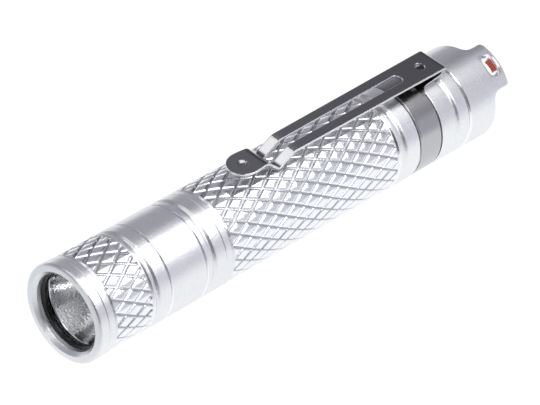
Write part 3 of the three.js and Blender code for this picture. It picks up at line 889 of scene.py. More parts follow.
class Workshop:
    """Holds the finishes and puts pieces on their bodies."""

    # The last colour below is painted shade, used only in the knurl's grooves.
    SATIN = Finish(
        "satin_aluminium", (0.89, 0.895, 0.91), metallic=1.0, roughness=0.34, tone_spread=0.22, cloud=90.0,
        relief=1.0, relief_depth=0.04, bright_colour=(0.93, 0.935, 0.95), bright_roughness=0.16,
        painted_shade_colour=(0.55, 0.56, 0.58))
    # The clip's colour is darker than bare steel: painted shade for the dark surroundings its top mirrors.
    # Its bright colour paints highlights on its edges, its band and the arm's underside; its last colour
    # paints shade on the tab and on the band under the arm.
    CLIP = Finish(
        "clip_spring_steel", (0.36, 0.355, 0.365), metallic=1.0, roughness=0.18, roughness_spread=0.06,
        tone_spread=0.05, grain=3000.0, cloud=160.0, relief=0.4, relief_depth=0.012,
        bright_colour=(0.86, 0.86, 0.86), bright_roughness=0.25, painted_shade_colour=(0.062, 0.054, 0.05))
    GLASS = Finish(
        "window_glass", (1.0, 1.0, 1.0), roughness=0.0, roughness_spread=0.0, tone_spread=0.0, grain=200.0,
        cloud=80.0, relief=0.0, relief_depth=0.0, transmission=1.0, ior=1.5)
    RUBBER = Finish("gloss_black_rubber", (0.006, 0.006, 0.008), roughness=0.2, tone_spread=0.2, cloud=300.0,
                    relief=0.06)
    MIRROR = Finish(
        "dimpled_mirror", (0.93, 0.93, 0.93), metallic=1.0, roughness=0.04, roughness_spread=0.02,
        tone_spread=0.02, grain=1900.0, relief=0.15, relief_depth=0.04)
    SILICONE = Finish(
        "orange_silicone", (0.78, 0.13, 0.07), roughness_spread=0.12, tone_spread=0.06, grain=3000.0,
        cloud=150.0, relief=0.12, relief_depth=0.02)
    WHITE = Finish("white_plastic", (0.82, 0.82, 0.79), roughness=0.42, tone_spread=0.03, grain=2500.0,
                   cloud=150.0)
    BLACK = Finish(
        "black_plastic", (0.02, 0.02, 0.022), roughness=0.4, roughness_spread=0.15, tone_spread=0.2,
        grain=2500.0, cloud=150.0, relief=0.15, relief_depth=0.02)
    PHOSPHOR = Finish(
        "phosphor_dome", (0.62, 0.40, 0.03), roughness=0.12, roughness_spread=0.05, tone_spread=0.06,
        grain=2200.0, cloud=300.0, relief=0.05, coat=1.0)
    BOARD = Finish(
        "green_board", (0.02, 0.14, 0.05), roughness=0.35, roughness_spread=0.15, tone_spread=0.25,
        grain=1800.0, cloud=700.0, relief=0.2, relief_depth=0.02, coat=0.4)
    COPPER = Finish("copper_core", (0.78, 0.42, 0.22), metallic=1.0, roughness=0.3, roughness_spread=0.12,
                    relief=0.2)
    BRASS = Finish("contact_brass", (0.80, 0.60, 0.24), metallic=1.0, roughness=0.24, tone_spread=0.06,
                   relief=0.15)
    STEEL = Finish("nickel_steel", (0.66, 0.67, 0.68), metallic=1.0, roughness=0.22, tone_spread=0.05,
                   relief=0.15)
    SLEEVE = Finish("cell_sleeve", (0.05, 0.16, 0.36), roughness=0.3, grain=1500.0, cloud=90.0,
                    relief_depth=0.02, coat=0.5)
    RED = Finish("red_insulation", (0.40, 0.015, 0.012), roughness=0.4, tone_spread=0.1, grain=2000.0)

    INNER = {
        "driver_inductor": BLACK, "driver_chip": BLACK, "driver_capacitor": COPPER, "driver_board": BOARD,
        "driver_retaining_ring": BRASS, "positive_contact_spring": BRASS, "battery_positive_cap": STEEL,
        "battery_can": STEEL, "battery_sleeve": SLEEVE, "tail_contact_spring": BRASS,
        "switch_retaining_ring": BRASS, "switch_board": BOARD, "switch_housing": BLACK,
        "switch_plunger": WHITE, "boot_washer": STEEL, "led_lead_positive": RED, "led_lead_negative": BLACK,
        "led_package": WHITE, "led_board": COPPER,
    }

    def __init__(self) -> None:
        """Builds the shared effects and starts with no material."""
        self.effects = Effects()
        self._built: Dict[str, bpy.types.Material] = {}

    def material(self, finish: Finish) -> bpy.types.Material:
        """Gives a finish's material, built at its first use.

        Args:
            finish: The finish.

        Returns:
            The material.
        """
        if finish.name not in self._built:
            self._built[finish.name] = finish.build(self.effects)
        return self._built[finish.name]

    def dress(self, piece: Piece, finish: Finish) -> None:
        """Gives a piece one finish."""
        piece.data.materials.clear()
        piece.data.materials.append(self.material(finish))

    def fit(self, piece: Piece, finish: Finish, node: Optional[str],
            body: Optional[str] = None) -> None:
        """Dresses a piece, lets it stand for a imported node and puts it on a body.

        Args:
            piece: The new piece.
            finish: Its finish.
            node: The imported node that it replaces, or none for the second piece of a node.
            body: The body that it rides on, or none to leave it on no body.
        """
        self.dress(piece, finish)
        if node is not None:
            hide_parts(node)
        if body is not None:
            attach(piece, body)
        LOG.info("%s stands for %s, %d faces", piece.name, node, len(piece.data.polygons))

    def dress_inner(self) -> None:
        """Gives the inner nodes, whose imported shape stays, their finishes."""
        for node, finish in self.INNER.items():
            self.dress(frame["nodes"][node], finish)
            LOG.info("%s keeps its packed shape", node)


@dataclass
class Joint:
    """Sizes that the three screw joints share."""

    barrel: float = 9.0
    end: float = 9.1
    socket: float = 8.3
    socket_fillet: float = 0.1
    neck: float = 7.95
    neck_fillet: float = 0.04
    neck_front_fillet: float = 0.12
    bore_fillet: float = 0.05
    seam: float = 0.05
    clearance: float = 0.03
    ring_floor: float = 7.55
    ring_floor_fillet: float = 0.06
    ring_length: float = 0.9
    ring_setback: float = 0.5
    ring_section: float = 0.6
    ring_clearance: float = 0.06
    thread_rows: float = 0.125
    chamfer: Chamfer = Chamfer(0.16, 0.9)

    def neck_corners(self, front: float, shoulder: float, bore: float) -> List[Corner]:
        """Gives the corners of a neck from its front edge to its shoulder, with the O-ring's groove.

        Args:
            front: Station of the neck's front edge.
            shoulder: Station of the shoulder behind it.
            bore: Radius of the bore inside the neck.

        Returns:
            The corners in order.
        """
        ring_rear = shoulder - self.ring_setback
        ring_front = ring_rear - self.ring_length
        return [
            Corner(bore, front, self.bore_fillet),
            Corner(self.neck, front, self.neck_front_fillet, spacing=self.thread_rows),
            Corner(self.neck, ring_front, self.neck_fillet),
            Corner(self.ring_floor, ring_front, self.ring_floor_fillet),
            Corner(self.ring_floor, ring_rear, self.ring_floor_fillet),
            Corner(self.neck, ring_rear, self.neck_fillet),
            Corner(self.neck, shoulder, self.neck_fillet),
        ]

    def rear_face(self, rear: float, chamfer: Chamfer) -> List[Corner]:
        """Gives the corners of a rear face, from its chamfer to the mouth of its socket."""
        return [*chamfer.rear(self.barrel, rear), Corner(self.socket, rear, self.socket_fillet)]

    def thread(self, front: float, shoulder: float) -> Thread:
        """Gives the thread on a neck."""
        return Thread(front, shoulder - self.ring_setback - self.ring_length, self.neck)

    def o_ring(self, name: str, shoulder: float) -> Piece:
        """Makes the O-ring that sits in a neck's groove."""
        station = shoulder - self.ring_setback - self.ring_length / 2
        return torus(name, self.socket - self.ring_clearance, self.ring_section, station)


@dataclass(frozen=True)
class Ripple:
    """A wave on the reflector, bent by slower waves.

    Around counts its crests round the axis and down its crests per dimple. A bend has its strength, its
    crests round the axis and its crests per dimple.
    """

    around: int
    down: float
    bends: Tuple[Tuple[float, int, float], ...]

    def height(self, angle: Array, down: Array) -> Array:
        """Gives the cosine of the bent phase.

        Args:
            angle: Angles about the axis.
            down: Way down the dish, a full turn per dimple.

        Returns:
            Heights from -1 to 1.
        """
        phase = self.around * angle + self.down * down
        for strength, around, along in self.bends:
            phase = phase + strength * np.sin(around * angle + along * down)
        return np.cos(phase)


@dataclass
class Bezel:
    """The knurled front ring, with the seal, the window and the reflector that it holds."""

    joint: Joint
    rim: float = 0.62
    rim_start: float = 0.2
    rim_points: int = 9
    lip_bore: float = 7.05
    lip_depth: float = 1.6
    lip_fillet: float = 0.08
    lip_bevel: float = 0.7
    bevel_fillet: float = 0.35
    face_fillet: float = 0.07
    face_bright: float = 0.4
    lens_bore: float = 7.9
    front_ring: float = 2.05
    line_depth: float = 0.18
    ring_drop: float = 0.06
    knurl_front: float = 3.55
    knurl_rear_setback: float = 4.15
    run_in: float = 0.32
    rise: float = 0.25
    groove_setback: float = 3.2
    socket_depth: float = 5.7
    socket_taper: float = 0.4
    seal_sides: int = 6
    window_clearance: float = 0.15
    window_edge: float = 0.12
    throat: float = 2.6
    mouth: float = 6.95
    dish_reach: float = 0.4
    dish_wall: float = 0.8
    dish_bevel: float = 0.1
    bevel_spread: float = 1.1
    dish_clearance: float = 0.05
    dish_rows: int = 110
    dish_columns: int = 360
    back_start: float = 0.25
    back_rows: int = 16
    plain_rows: int = 3
    dimple: float = 0.8
    dimple_depth: float = 0.0045
    ripples: Tuple[Tuple[Ripple, Ripple], ...] = (
        (Ripple(42, 0.0, ((1.4, 5, 0.31),)), Ripple(0, 1.0, ((1.2, 9, 0.0), (0.8, 23, 0.0)))),
        (Ripple(29, 0.83, ((1.7, -7, 0.23),)), Ripple(37, -0.71, ((2.1, 11, 0.37),))))

    def build(self, shop: Workshop) -> None:
        """Makes the bezel's pieces.

        Args:
            shop: Finishes and fitting.
        """
        joint, rim, rear = self.joint, self.rim, AXIS.span("bezel")[1]
        band = KnurlBand(
            barrel=joint.barrel, ring=joint.end, line=self.front_ring, front=self.knurl_front,
            rear=rear - self.knurl_rear_setback, line_depth=self.line_depth, ring_drop=self.ring_drop,
            run_in=self.run_in, rise=self.rise, bright=joint.chamfer.bright)
        sweep = np.linspace(self.rim_start, QUARTER_TURN, self.rim_points)
        corners = [
            Corner(self.lip_bore, self.lip_depth, self.lip_fillet),
            Corner(self.lip_bore, self.lip_bevel, self.bevel_fillet),
            Corner(self.lip_bore + self.lip_bevel, 0.0, self.face_fillet, bright=self.face_bright),
            *(Corner(joint.end - rim * (1 - math.sin(t)), rim * (1 - math.cos(t))) for t in sweep),
            *band.corners(),
            *soft_groove(rear - self.groove_setback, joint.barrel),
            *joint.rear_face(rear, joint.chamfer),
            Corner(joint.socket, rear - self.socket_depth),
            Corner(self.lens_bore, rear - self.socket_depth - self.socket_taper),
            Corner(self.lens_bore, self.lip_depth),
        ]
        shell = turned("bezel_shell", corners, band.knurl.columns, knurl=band.knurl)
        shop.fit(shell, shop.SATIN, "bezel", "bezel")
        self._seal(shop)
        self._window(shop)
        self._reflector(shop)

    def _seal(self, shop: Workshop) -> None:
        """Makes the glossy seal ring behind the lip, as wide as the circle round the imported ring's section.

        Args:
            shop: Finishes and fitting.
        """
        start, end = AXIS.span("lens_seal")
        section = (end - start) / math.cos(math.pi / self.seal_sides)
        seal = torus("window_seal", AXIS.reach("lens_seal"), section, (start + end) / 2)
        shop.fit(seal, shop.RUBBER, "lens_seal", "bezel_carriage")

    def _window(self, shop: Workshop) -> None:
        """Makes the flat glass window with ground edges.

        Args:
            shop: Finishes and fitting.
        """
        start, end = AXIS.span("lens")
        end -= self.dish_reach
        radius = self.lens_bore - self.window_clearance
        corners = [Corner(0, start), Corner(radius, start, self.window_edge),
                   Corner(radius, end, self.window_edge), Corner(0, end)]
        window = turned("glass_window", corners, RING_COLUMNS)
        shop.fit(window, shop.GLASS, "lens", "bezel_carriage")

    def _reflector(self, shop: Workshop) -> None:
        """Makes the reflector: a paraboloid dish with shallow dimples and a bevelled rim.

        The square of the dish's radius grows evenly with the distance from its throat, and the back of its
        wall follows it as far as the bezel lets it. The dimples are the sum of two products of ripples, which
        cross, so that they look scattered.

        Args:
            shop: Finishes and fitting.
        """
        start, end = AXIS.span("reflector")
        grow = (self.mouth ** 2 - self.throat ** 2) / (end - start)
        start -= self.dish_reach
        depth = end - start
        share = np.linspace(1.0, 0.0, self.dish_rows)
        dish = np.sqrt(self.throat ** 2 + share * grow * depth)
        back = np.linspace(1.0, self.back_start, self.back_rows)
        behind = np.sqrt(self.throat ** 2 + (1 - back) * grow * depth) + self.dish_wall
        outside = self.lens_bore - self.dish_clearance
        behind = np.minimum(behind, outside - self.dish_clearance)
        rim = dish[0] + self.bevel_spread * self.dish_bevel
        radius = np.concatenate([dish, behind, [outside, outside, rim]])[:, None]
        station = np.concatenate([end - share * (depth - self.dish_bevel), start + back * depth,
                                  [start + self.dish_wall, start, start]])[:, None]
        angle = np.arange(self.dish_columns)[None, :] * FULL_TURN / self.dish_columns
        down = FULL_TURN * station / self.dimple
        wave = sum(first.height(angle, down) * second.height(angle, down) for first, second in self.ripples)
        row = np.arange(len(radius))[:, None]
        dimpled = (row >= self.plain_rows) & (row < self.dish_rows - self.plain_rows)
        full = radius + np.where(dimpled, self.dimple_depth, 0.0) * wave
        points = AXIS.round(full, station, angle)
        mirror = add_mesh("reflector_dish", points, grid_faces(*full.shape, True, True))
        shop.fit(mirror, shop.MIRROR, "reflector", "bezel_carriage")


@dataclass
class Head:
    """The smooth head with its threaded neck, and the light source on its board."""

    joint: Joint
    neck_length: float = 5.3
    bore: float = 7.3
    ledge: float = 6.1
    shelf: float = 1.6
    dome_points: int = 14
    dome_columns: int = 64
    gasket_bore: float = 2.6
    gasket_outer: float = 4.0
    gasket_front_fillet: float = 0.1
    gasket_rear_fillet: float = 0.05
    gasket_columns: int = 96

    def build(self, shop: Workshop) -> None:
        """Makes the head's pieces.

        Args:
            shop: Finishes and fitting.
        """
        joint = self.joint
        front, rear = AXIS.span("head_housing")
        shoulder = front + self.neck_length
        floor = AXIS.span("led_board")[1] + joint.clearance
        driver = AXIS.span("driver_board")[0]
        seat = AXIS.span("driver_retaining_ring")[1]
        corners = [
            Corner(0, floor),
            Corner(self.bore, floor),
            *joint.neck_corners(front, shoulder, self.bore),
            *joint.chamfer.front(joint.barrel, shoulder),
            *joint.rear_face(rear, joint.chamfer),
            Corner(joint.socket, seat),
            Corner(self.bore, seat),
            Corner(self.bore, driver),
            Corner(self.ledge, driver),
            Corner(self.ledge, floor + self.shelf),
            Corner(0, floor + self.shelf),
        ]
        shell = turned("head_shell", corners, PLAIN_COLUMNS, thread=joint.thread(front, shoulder))
        shop.fit(shell, shop.SATIN, "head_housing", "head")
        ring = joint.o_ring("bezel_neck_o_ring", shoulder)
        shop.fit(ring, shop.RUBBER, "bezel_o_ring", "head")
        self._light_source(shop)

    def _light_source(self, shop: Workshop) -> None:
        """Makes the round dome and the centring gasket about it.

        Args:
            shop: Finishes and fitting.
        """
        start, end = AXIS.span("led_dome")
        radius = end - start
        turn = np.linspace(0, QUARTER_TURN, self.dome_points)
        arc = [Corner(radius * math.cos(t), end - radius * math.sin(t)) for t in turn]
        dome = turned("light_dome", [Corner(0, end), *arc], self.dome_columns, sharp=DOME_SHARP_ANGLE)
        shop.fit(dome, shop.PHOSPHOR, "led_dome", "head")
        start, end = AXIS.span("led_gasket")
        corners = [
            Corner(self.gasket_bore, start, self.gasket_front_fillet),
            Corner(self.gasket_outer, start, self.gasket_front_fillet),
            Corner(self.gasket_outer, end, self.gasket_rear_fillet),
            Corner(self.gasket_bore, end, self.gasket_rear_fillet),
        ]
        gasket = turned("centring_gasket", corners, self.gasket_columns)
        shop.fit(gasket, shop.WHITE, "led_gasket", "head")


@dataclass
class BodyTube:
    """The knurled barrel, with its turned rings and the seat for the clip."""

    joint: Joint
    neck_bore: float = 6.5
    bore: float = 7.3
    ring_groove: float = 1.75
    front_ring: float = 4.6
    line_depth: float = 0.16
    ring_drop: float = 0.03
    knurl_gap: float = 1.5
    run_in: float = 0.35
    rise: float = 0.3
    rear_ring: float = 5.6
    rear_groove: float = 1.8
    rear_groove_width: float = 1.45
    rear_groove_depth: float = 0.38
    seat_length: float = 6.12
    seat_setback: float = 1.3
    seat_depth: float = 0.6
    seat_edge_fillet: float = 0.06
    seat_edge_bright: float = 0.8
    seat_floor_fillet: float = 0.05
    tail_groove: float = 3.4
    socket_clearance: float = 0.3
    end_chamfer: Chamfer = Chamfer(0.26, 1.0)

    def build(self, shop: Workshop) -> None:
        """Makes the body tube and its O-ring.

        Args:
            shop: Finishes and fitting.
        """
        joint, barrel = self.joint, self.joint.barrel
        front, rear = AXIS.span("body_tube")
        shoulder = AXIS.span("head_housing")[1] + joint.seam
        socket_floor = AXIS.span("tail_cap")[0] - self.socket_clearance
        cell = AXIS.span("battery_positive_cap")[0]
        seat_rear = socket_floor - self.seat_setback
        seat_front = seat_rear - self.seat_length
        ring_end = shoulder + self.front_ring
        band = KnurlBand(
            barrel=barrel, ring=barrel, line=ring_end, front=ring_end + self.knurl_gap,
            rear=seat_front - self.rear_ring, line_depth=self.line_depth, ring_drop=self.ring_drop,
            run_in=self.run_in, rise=self.rise, bright=self.end_chamfer.bright)
        corners = [
            *joint.neck_corners(front, shoulder, self.neck_bore),
            *joint.chamfer.front(barrel, shoulder),
            *soft_groove(shoulder + self.ring_groove, barrel),
            *band.corners(),
            *soft_groove(band.rear + self.rear_groove, barrel, self.rear_groove_width,
                         self.rear_groove_depth),
            Corner(barrel, seat_front, self.seat_edge_fillet, bright=self.seat_edge_bright),
            Corner(barrel - self.seat_depth, seat_front, self.seat_floor_fillet),
            Corner(barrel - self.seat_depth, seat_rear, self.seat_floor_fillet),
            Corner(barrel, seat_rear, self.seat_edge_fillet, bright=self.seat_edge_bright),
            *soft_groove(rear - self.tail_groove, barrel),
            *joint.rear_face(rear, self.end_chamfer),
            Corner(joint.socket, socket_floor),
            Corner(self.bore, socket_floor),
            Corner(self.bore, cell),
            Corner(self.neck_bore, cell - (self.bore - self.neck_bore)),
        ]
        shell = turned("barrel_shell", corners, band.knurl.columns, knurl=band.knurl,
                       thread=joint.thread(front, shoulder))
        shop.fit(shell, shop.SATIN, "body_tube", "body")
        ring = joint.o_ring("head_neck_o_ring", shoulder)
        shop.fit(ring, shop.RUBBER, "head_o_ring", "body")


@dataclass
class Button:
    """The silicone boot over the switch: a flange, a skirt, a thin collar and a crowned dome."""

    joint: Joint
    cap_floor: float
    dome: float = 3.3
    dome_rise: float = 1.2
    dome_points: int = 16
    columns: int = 128
    skirt: float = 3.25
    skirt_fillet: float = 0.05
    wall: float = 0.8
    fold_fillet: float = 0.2
    flange: float = 0.8
    flange_clearance: float = 0.05
    flange_fillet: float = 0.15
    collar: float = 5.3
    collar_crown: float = 0.35
    collar_rim: float = 0.25
    collar_fillet: float = 0.1
    collar_foot_fillet: float = 0.08
    outer_rows: float = 0.1
    inner_rows: float = 0.3

    def seat(self) -> float:
        """Gives the station of the cap's floor under the flange."""
        return AXIS.span("switch_boot")[0] + self.flange + self.joint.clearance

    def build(self, shop: Workshop) -> None:
        """Makes the boot.

        Args:
            shop: Finishes and fitting.
        """
        start, crown = AXIS.span("switch_boot")
        flange_end = start + self.flange
        outer = AXIS.reach("switch_boot") - self.flange_clearance
        inner = self.dome - self.wall
        shoulder = crown - self.dome_rise
        lip = self.seat() + self.cap_floor + self.joint.clearance
        collar_top = lip + self.collar_crown
        plunger = AXIS.span("switch_plunger")[1] + self.joint.clearance
        turn = np.linspace(QUARTER_TURN, 0, self.dome_points)
        corners = [
            *(Corner(self.dome * math.cos(t), shoulder + self.dome_rise * math.sin(t)) for t in turn),
            Corner(self.dome, collar_top, self.collar_fillet, spacing=self.outer_rows),
            Corner(self.collar, lip + self.collar_rim, self.collar_fillet),
            Corner(self.collar, lip, self.collar_foot_fillet),
            Corner(self.skirt, lip, self.skirt_fillet),
            Corner(self.skirt, flange_end, self.fold_fillet),
            Corner(outer, flange_end, self.flange_fillet),
            Corner(outer, start, self.flange_fillet),
            Corner(inner, start, spacing=self.inner_rows),
            Corner(inner, plunger, self.fold_fillet),
            Corner(0, plunger),
        ]
        boot = turned("button_boot", corners, self.columns, sharp=DOME_SHARP_ANGLE)
        shop.fit(boot, shop.SILICONE, "switch_boot")
        AXIS.point(collar_top)
        AXIS.point(shoulder)
        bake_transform(boot)


@dataclass
class TailCap:
    """The tail cap: a threaded neck, two ears between scallops, a lanyard slot, and the soft button."""

    joint: Joint
    bore: float = 6.7
    recess: float = 6.9
    recess_fillet: float = 0.3
    floor: float = 1.2
    boot_hole: float = 3.6
    boot_hole_fillet: float = 0.15
    seat_fillet: float = 0.05
    mouth_setback: float = 0.4
    front_chamfer: Chamfer = Chamfer(0.24, 1.0, outer_fillet=0.06)
    ear_turn: float = 29.5
    ear_half: float = 31.75
    ear_corner: float = 0.95
    scallop: float = 4.15
    scallop_fillet: float = 1.5
    fan_length: float = 2.0
    fan_rows: int = 12
    lean: float = 0.3
    edge_round: float = 0.42
    edge_rows: int = 6
    edge_bright: float = 0.55
    outline_step: float = 0.16
    slot_setback: float = 2.2
    slot_width: float = 2.5
    slot_length: float = 4.0
    slot_corner: float = 1.2
    slot_bevel: float = 0.3
    slot_bevel_depth: float = 0.6
    slot_bevel_lift: float = 0.02
    slot_lean: float = 0.4
    slot_inner_flare: float = 0.05
    slot_inner_run: float = 0.1
    slot_overrun: float = 1.2
    slot_points: int = 64
    slot_margin: float = 0.1
    flush_reach: float = 0.004
    upright_limit: float = 0.3
    agreement: float = 0.7

    def __post_init__(self) -> None:
        """Works out the cap's place, the button and the half lengths of the slot's middle line."""
        self.front, self.rear = AXIS.span("tail_cap")
        self.turn = math.radians(self.ear_turn)
        self.button = Button(self.joint, self.floor)
        self.slot_middle = self.rear - self.slot_setback
        self.half_across = self.slot_length / 2 - self.slot_corner
        self.half_along = self.slot_width / 2 - self.slot_corner

    def build(self, shop: Workshop) -> None:
        """Makes the cap, its O-ring and the button.

        Args:
            shop: Finishes and fitting.
        """
        shoulder = AXIS.span("body_tube")[1] + self.joint.seam
        cap = self._shell(shoulder)
        self._cut_slot(cap)
        self._polish_slot(cap)
        shop.fit(cap, shop.SATIN, "tail_cap", "tail_cap")
        ring = self.joint.o_ring("tail_neck_o_ring", shoulder)
        shop.fit(ring, shop.RUBBER, "tail_o_ring", "tail_carriage")
        self.button.build(shop)

    def _outline(self) -> Tuple[Array, Array]:
        """Gives the end's outline, worked out unrolled: arc length from an ear's middle, and station.

        A quarter runs along the ear's end, down its side and along the scallop, with rounded corners. Its
        mirror image and a copy half a turn on complete the loop.

        Returns:
            Angles about the axis and stations, in order round the loop.
        """
        end, valley = self.joint.end, self.rear - self.scallop
        half, quarter = math.radians(self.ear_half) * end, QUARTER_TURN * end
        knots = np.array([(0, self.rear), (half, self.rear), (half, valley), (quarter, valley)])
        path = np.vstack([knots[:1], round_corner(*knots[:3], self.ear_corner),
                          round_corner(*knots[1:], self.scallop_fillet), knots[3:]])
        reach = np.concatenate([[0], np.cumsum(np.linalg.norm(np.diff(path, axis=0), axis=1))])
        even = np.union1d(np.arange(0, reach[-1], self.outline_step), reach)
        arc, station = np.interp(even, reach, path[:, 0]), np.interp(even, reach, path[:, 1])
        arc = np.concatenate([arc[:-1], 2 * quarter - arc[::-1][:-1]])
        station = np.concatenate([station[:-1], station[::-1][:-1]])
        angle = np.concatenate([arc, arc + 2 * quarter]) / end
        return angle, np.concatenate([station, station])

    def _shell(self, shoulder: float) -> Piece:
        """Makes the cap as one grid whose columns fan out from circles to the end's outline.

        The circles' columns lean towards the ears' middles, the more the higher the outline stands there,
        so that a column's line from its circle to the outline stays on the wall. The rim is rounded by
        moving the outline into the wall while the radius changes, along a quarter circle.

        Args:
            shoulder: Station of the shoulder behind the neck.

        Returns:
            The new object.
        """
        joint, end, front = self.joint, self.joint.end, self.front
        valley = self.rear - self.scallop
        base = valley - self.fan_length
        seat = self.button.seat()
        floor = seat + self.floor
        wall = floor + self.recess_fillet
        rim_angle, rim_station = self._outline()
        local = (rim_angle + QUARTER_TURN) % math.pi - QUARTER_TURN
        circle = rim_angle - self.lean * (rim_station - valley) / self.scallop * local
        step = np.stack([np.roll(rim, -1) - np.roll(rim, 1) for rim in (rim_angle, rim_station)])
        step[0] = ((step[0] + math.pi) % FULL_TURN - math.pi) * end
        inward = np.stack([step[1], -step[0]]) / np.linalg.norm(step, axis=0)

        outer = profile_rows([*joint.neck_corners(front, shoulder, self.bore),
                              *self.front_chamfer.front(end, shoulder), Corner(end, base)], closed=False)
        inner = profile_rows([
            Corner(self.recess, wall),
            Corner(self.recess, floor, self.recess_fillet),
            Corner(self.boot_hole, floor, self.boot_hole_fillet),
            Corner(self.boot_hole, seat, self.seat_fillet),
            Corner(self.bore, seat),
            Corner(self.bore, front + self.mouth_setback),
        ], closed=False)
        neck = joint.thread(front, shoulder).cut(outer.radius[:, None], outer.station[:, None], circle)
        sweep = np.linspace(0, QUARTER_TURN, self.edge_rows)[:, None]
        offset = self.edge_round * (1 - np.sin(sweep))
        shift = self.edge_round * (1 - np.cos(sweep))
        round_angle = rim_angle + offset * inward[0] / end
        round_station = rim_station + offset * inward[1]
        bright = self.edge_bright * np.sin(2 * sweep)
        fan = np.linspace(0, 1, self.fan_rows)[1:-1, None]
        rise, swing = round_station[0] - base, round_angle[0] - circle
        bands = [
            (neck, outer.station[:, None], circle, outer.bright[:, None]),
            (end, base + fan * rise, circle + fan * swing, 0.0),
            (end - shift, round_station, round_angle, bright),
            (self.recess + shift[::-1], round_station[::-1], round_angle[::-1], bright[::-1]),
            (self.recess, round_station[0] + fan * (wall - round_station[0]),
             round_angle[0] - fan * swing, 0.0),
            (inner.radius[:, None], inner.station[:, None], circle, inner.bright[:, None]),
        ]
        full = zip(*(np.broadcast_arrays(*band) for band in bands))
        radius, station, angle, bright = (np.vstack(rows) for rows in full)
        points = AXIS.round(radius, station, angle + self.turn)
        return add_mesh("tail_cap_shell", points, grid_faces(*radius.shape, True, True), bright=bright,
                        recess=np.zeros_like(bright))

    def _cut_slot(self, cap: Piece) -> None:
        """Cuts the lanyard slot: a rounded rectangle carried outwards, flared at the surface as a chamfer.

        Args:
            cap: The cap.
        """
        end, recess, bevel = self.joint.end, self.recess, self.slot_bevel
        turn = np.linspace(0, FULL_TURN, self.slot_points, endpoint=False)
        side_across, side_along = np.sign(np.cos(turn) + TINY), np.sign(np.sin(turn) + TINY)
        layers = np.array([
            (recess - self.slot_overrun, self.slot_inner_flare), (recess + self.slot_inner_run, 0.0),
            (end - self.slot_bevel_depth, 0.0), (end + self.slot_bevel_lift, bevel),
            (end + self.slot_overrun, bevel)])
        radius, flare = layers[:, :1], layers[:, 1:]
        corner = self.slot_corner + flare
        across = side_across * self.half_across + corner * np.cos(turn)
        along = side_along * self.half_along + corner * np.sin(turn) + self.slot_lean * flare
        points = AXIS.round(radius, self.slot_middle + along, across / end + self.turn)
        rows, count = across.shape
        caps = [range(count), range((rows - 1) * count, rows * count)]
        cutter = add_mesh("slot_cutter", points, grid_faces(rows, count, False, True), caps)
        modifier = cap.modifiers.new("lanyard_slot", "BOOLEAN")
        modifier.operation, modifier.object, modifier.solver = "DIFFERENCE", cutter, "EXACT"
        apply_modifiers(cap)
        bpy.data.objects.remove(cutter)

    def _polish_slot(self, cap: Piece) -> None:
        """Marks the slot's walls as freshly cut, and sets normals where the cut left uneven faces.

        The outside keeps its round normals. A wall's normal points from its point to the nearest point of the
        slot's middle line.

        Args:
            cap: The cap.
        """
        mesh, end = cap.data, self.joint.end
        points = read_values(mesh.vertices, "co", 3) / MM - (AXIS.front / MM, 0.0, AXIS.height / MM)
        radius = np.hypot(points[:, 1], points[:, 2])
        angle = np.arctan2(-points[:, 1], points[:, 2])
        across, along = (angle - self.turn) * end, points[:, 0] - self.slot_middle
        margin = self.slot_bevel * (1 + self.slot_lean) + self.slot_margin
        wall = np.abs(across) < self.slot_length / 2 + margin
        wall &= np.abs(along) < self.slot_width / 2 + margin
        marks = mesh.attributes[Mark.BRIGHT.value].data
        bright = read_values(marks, "value", kind=np.float32)
        marks.foreach_set("value", np.where(wall, 1.0, bright).astype(np.float32))

        corner = read_values(mesh.loops, "vertex_index", kind=int)
        total = read_values(mesh.polygons, "loop_total", kind=int)
        facing = np.repeat(read_values(mesh.polygons, "normal", 3), total, axis=0)
        zero = np.zeros_like(radius)
        around = np.stack([zero, points[:, 1] / radius, points[:, 2] / radius], axis=1)[corner]
        outwards = (facing * around).sum(axis=1)
        flush = (np.abs(radius - end)[corner] < self.flush_reach) & (outwards > math.cos(SHARP_ANGLE))
        inward = np.stack([np.clip(along, -self.half_along, self.half_along) - along,
                           np.clip(across, -self.half_across, self.half_across) - across])
        inward /= np.maximum(np.linalg.norm(inward, axis=0), TINY)
        level = np.stack([inward[0], -inward[1] * np.cos(angle), -inward[1] * np.sin(angle)], axis=1)[corner]
        upright = wall[corner] & (np.abs(outwards) < self.upright_limit)
        upright &= (facing * level).sum(axis=1) > self.agreement
        normals = read_values(mesh.corner_normals, "vector", 3)
        normals = np.where(flush[:, None], around, normals)
        normals = np.where(upright[:, None], level, normals)
        mesh.normals_split_custom_set(normals.tolist())


SAME_POINT = 1e-3
HalfWidth = Callable[[Array, Array], Array]
Lowering = Callable[[Array, Array, Array], Array]


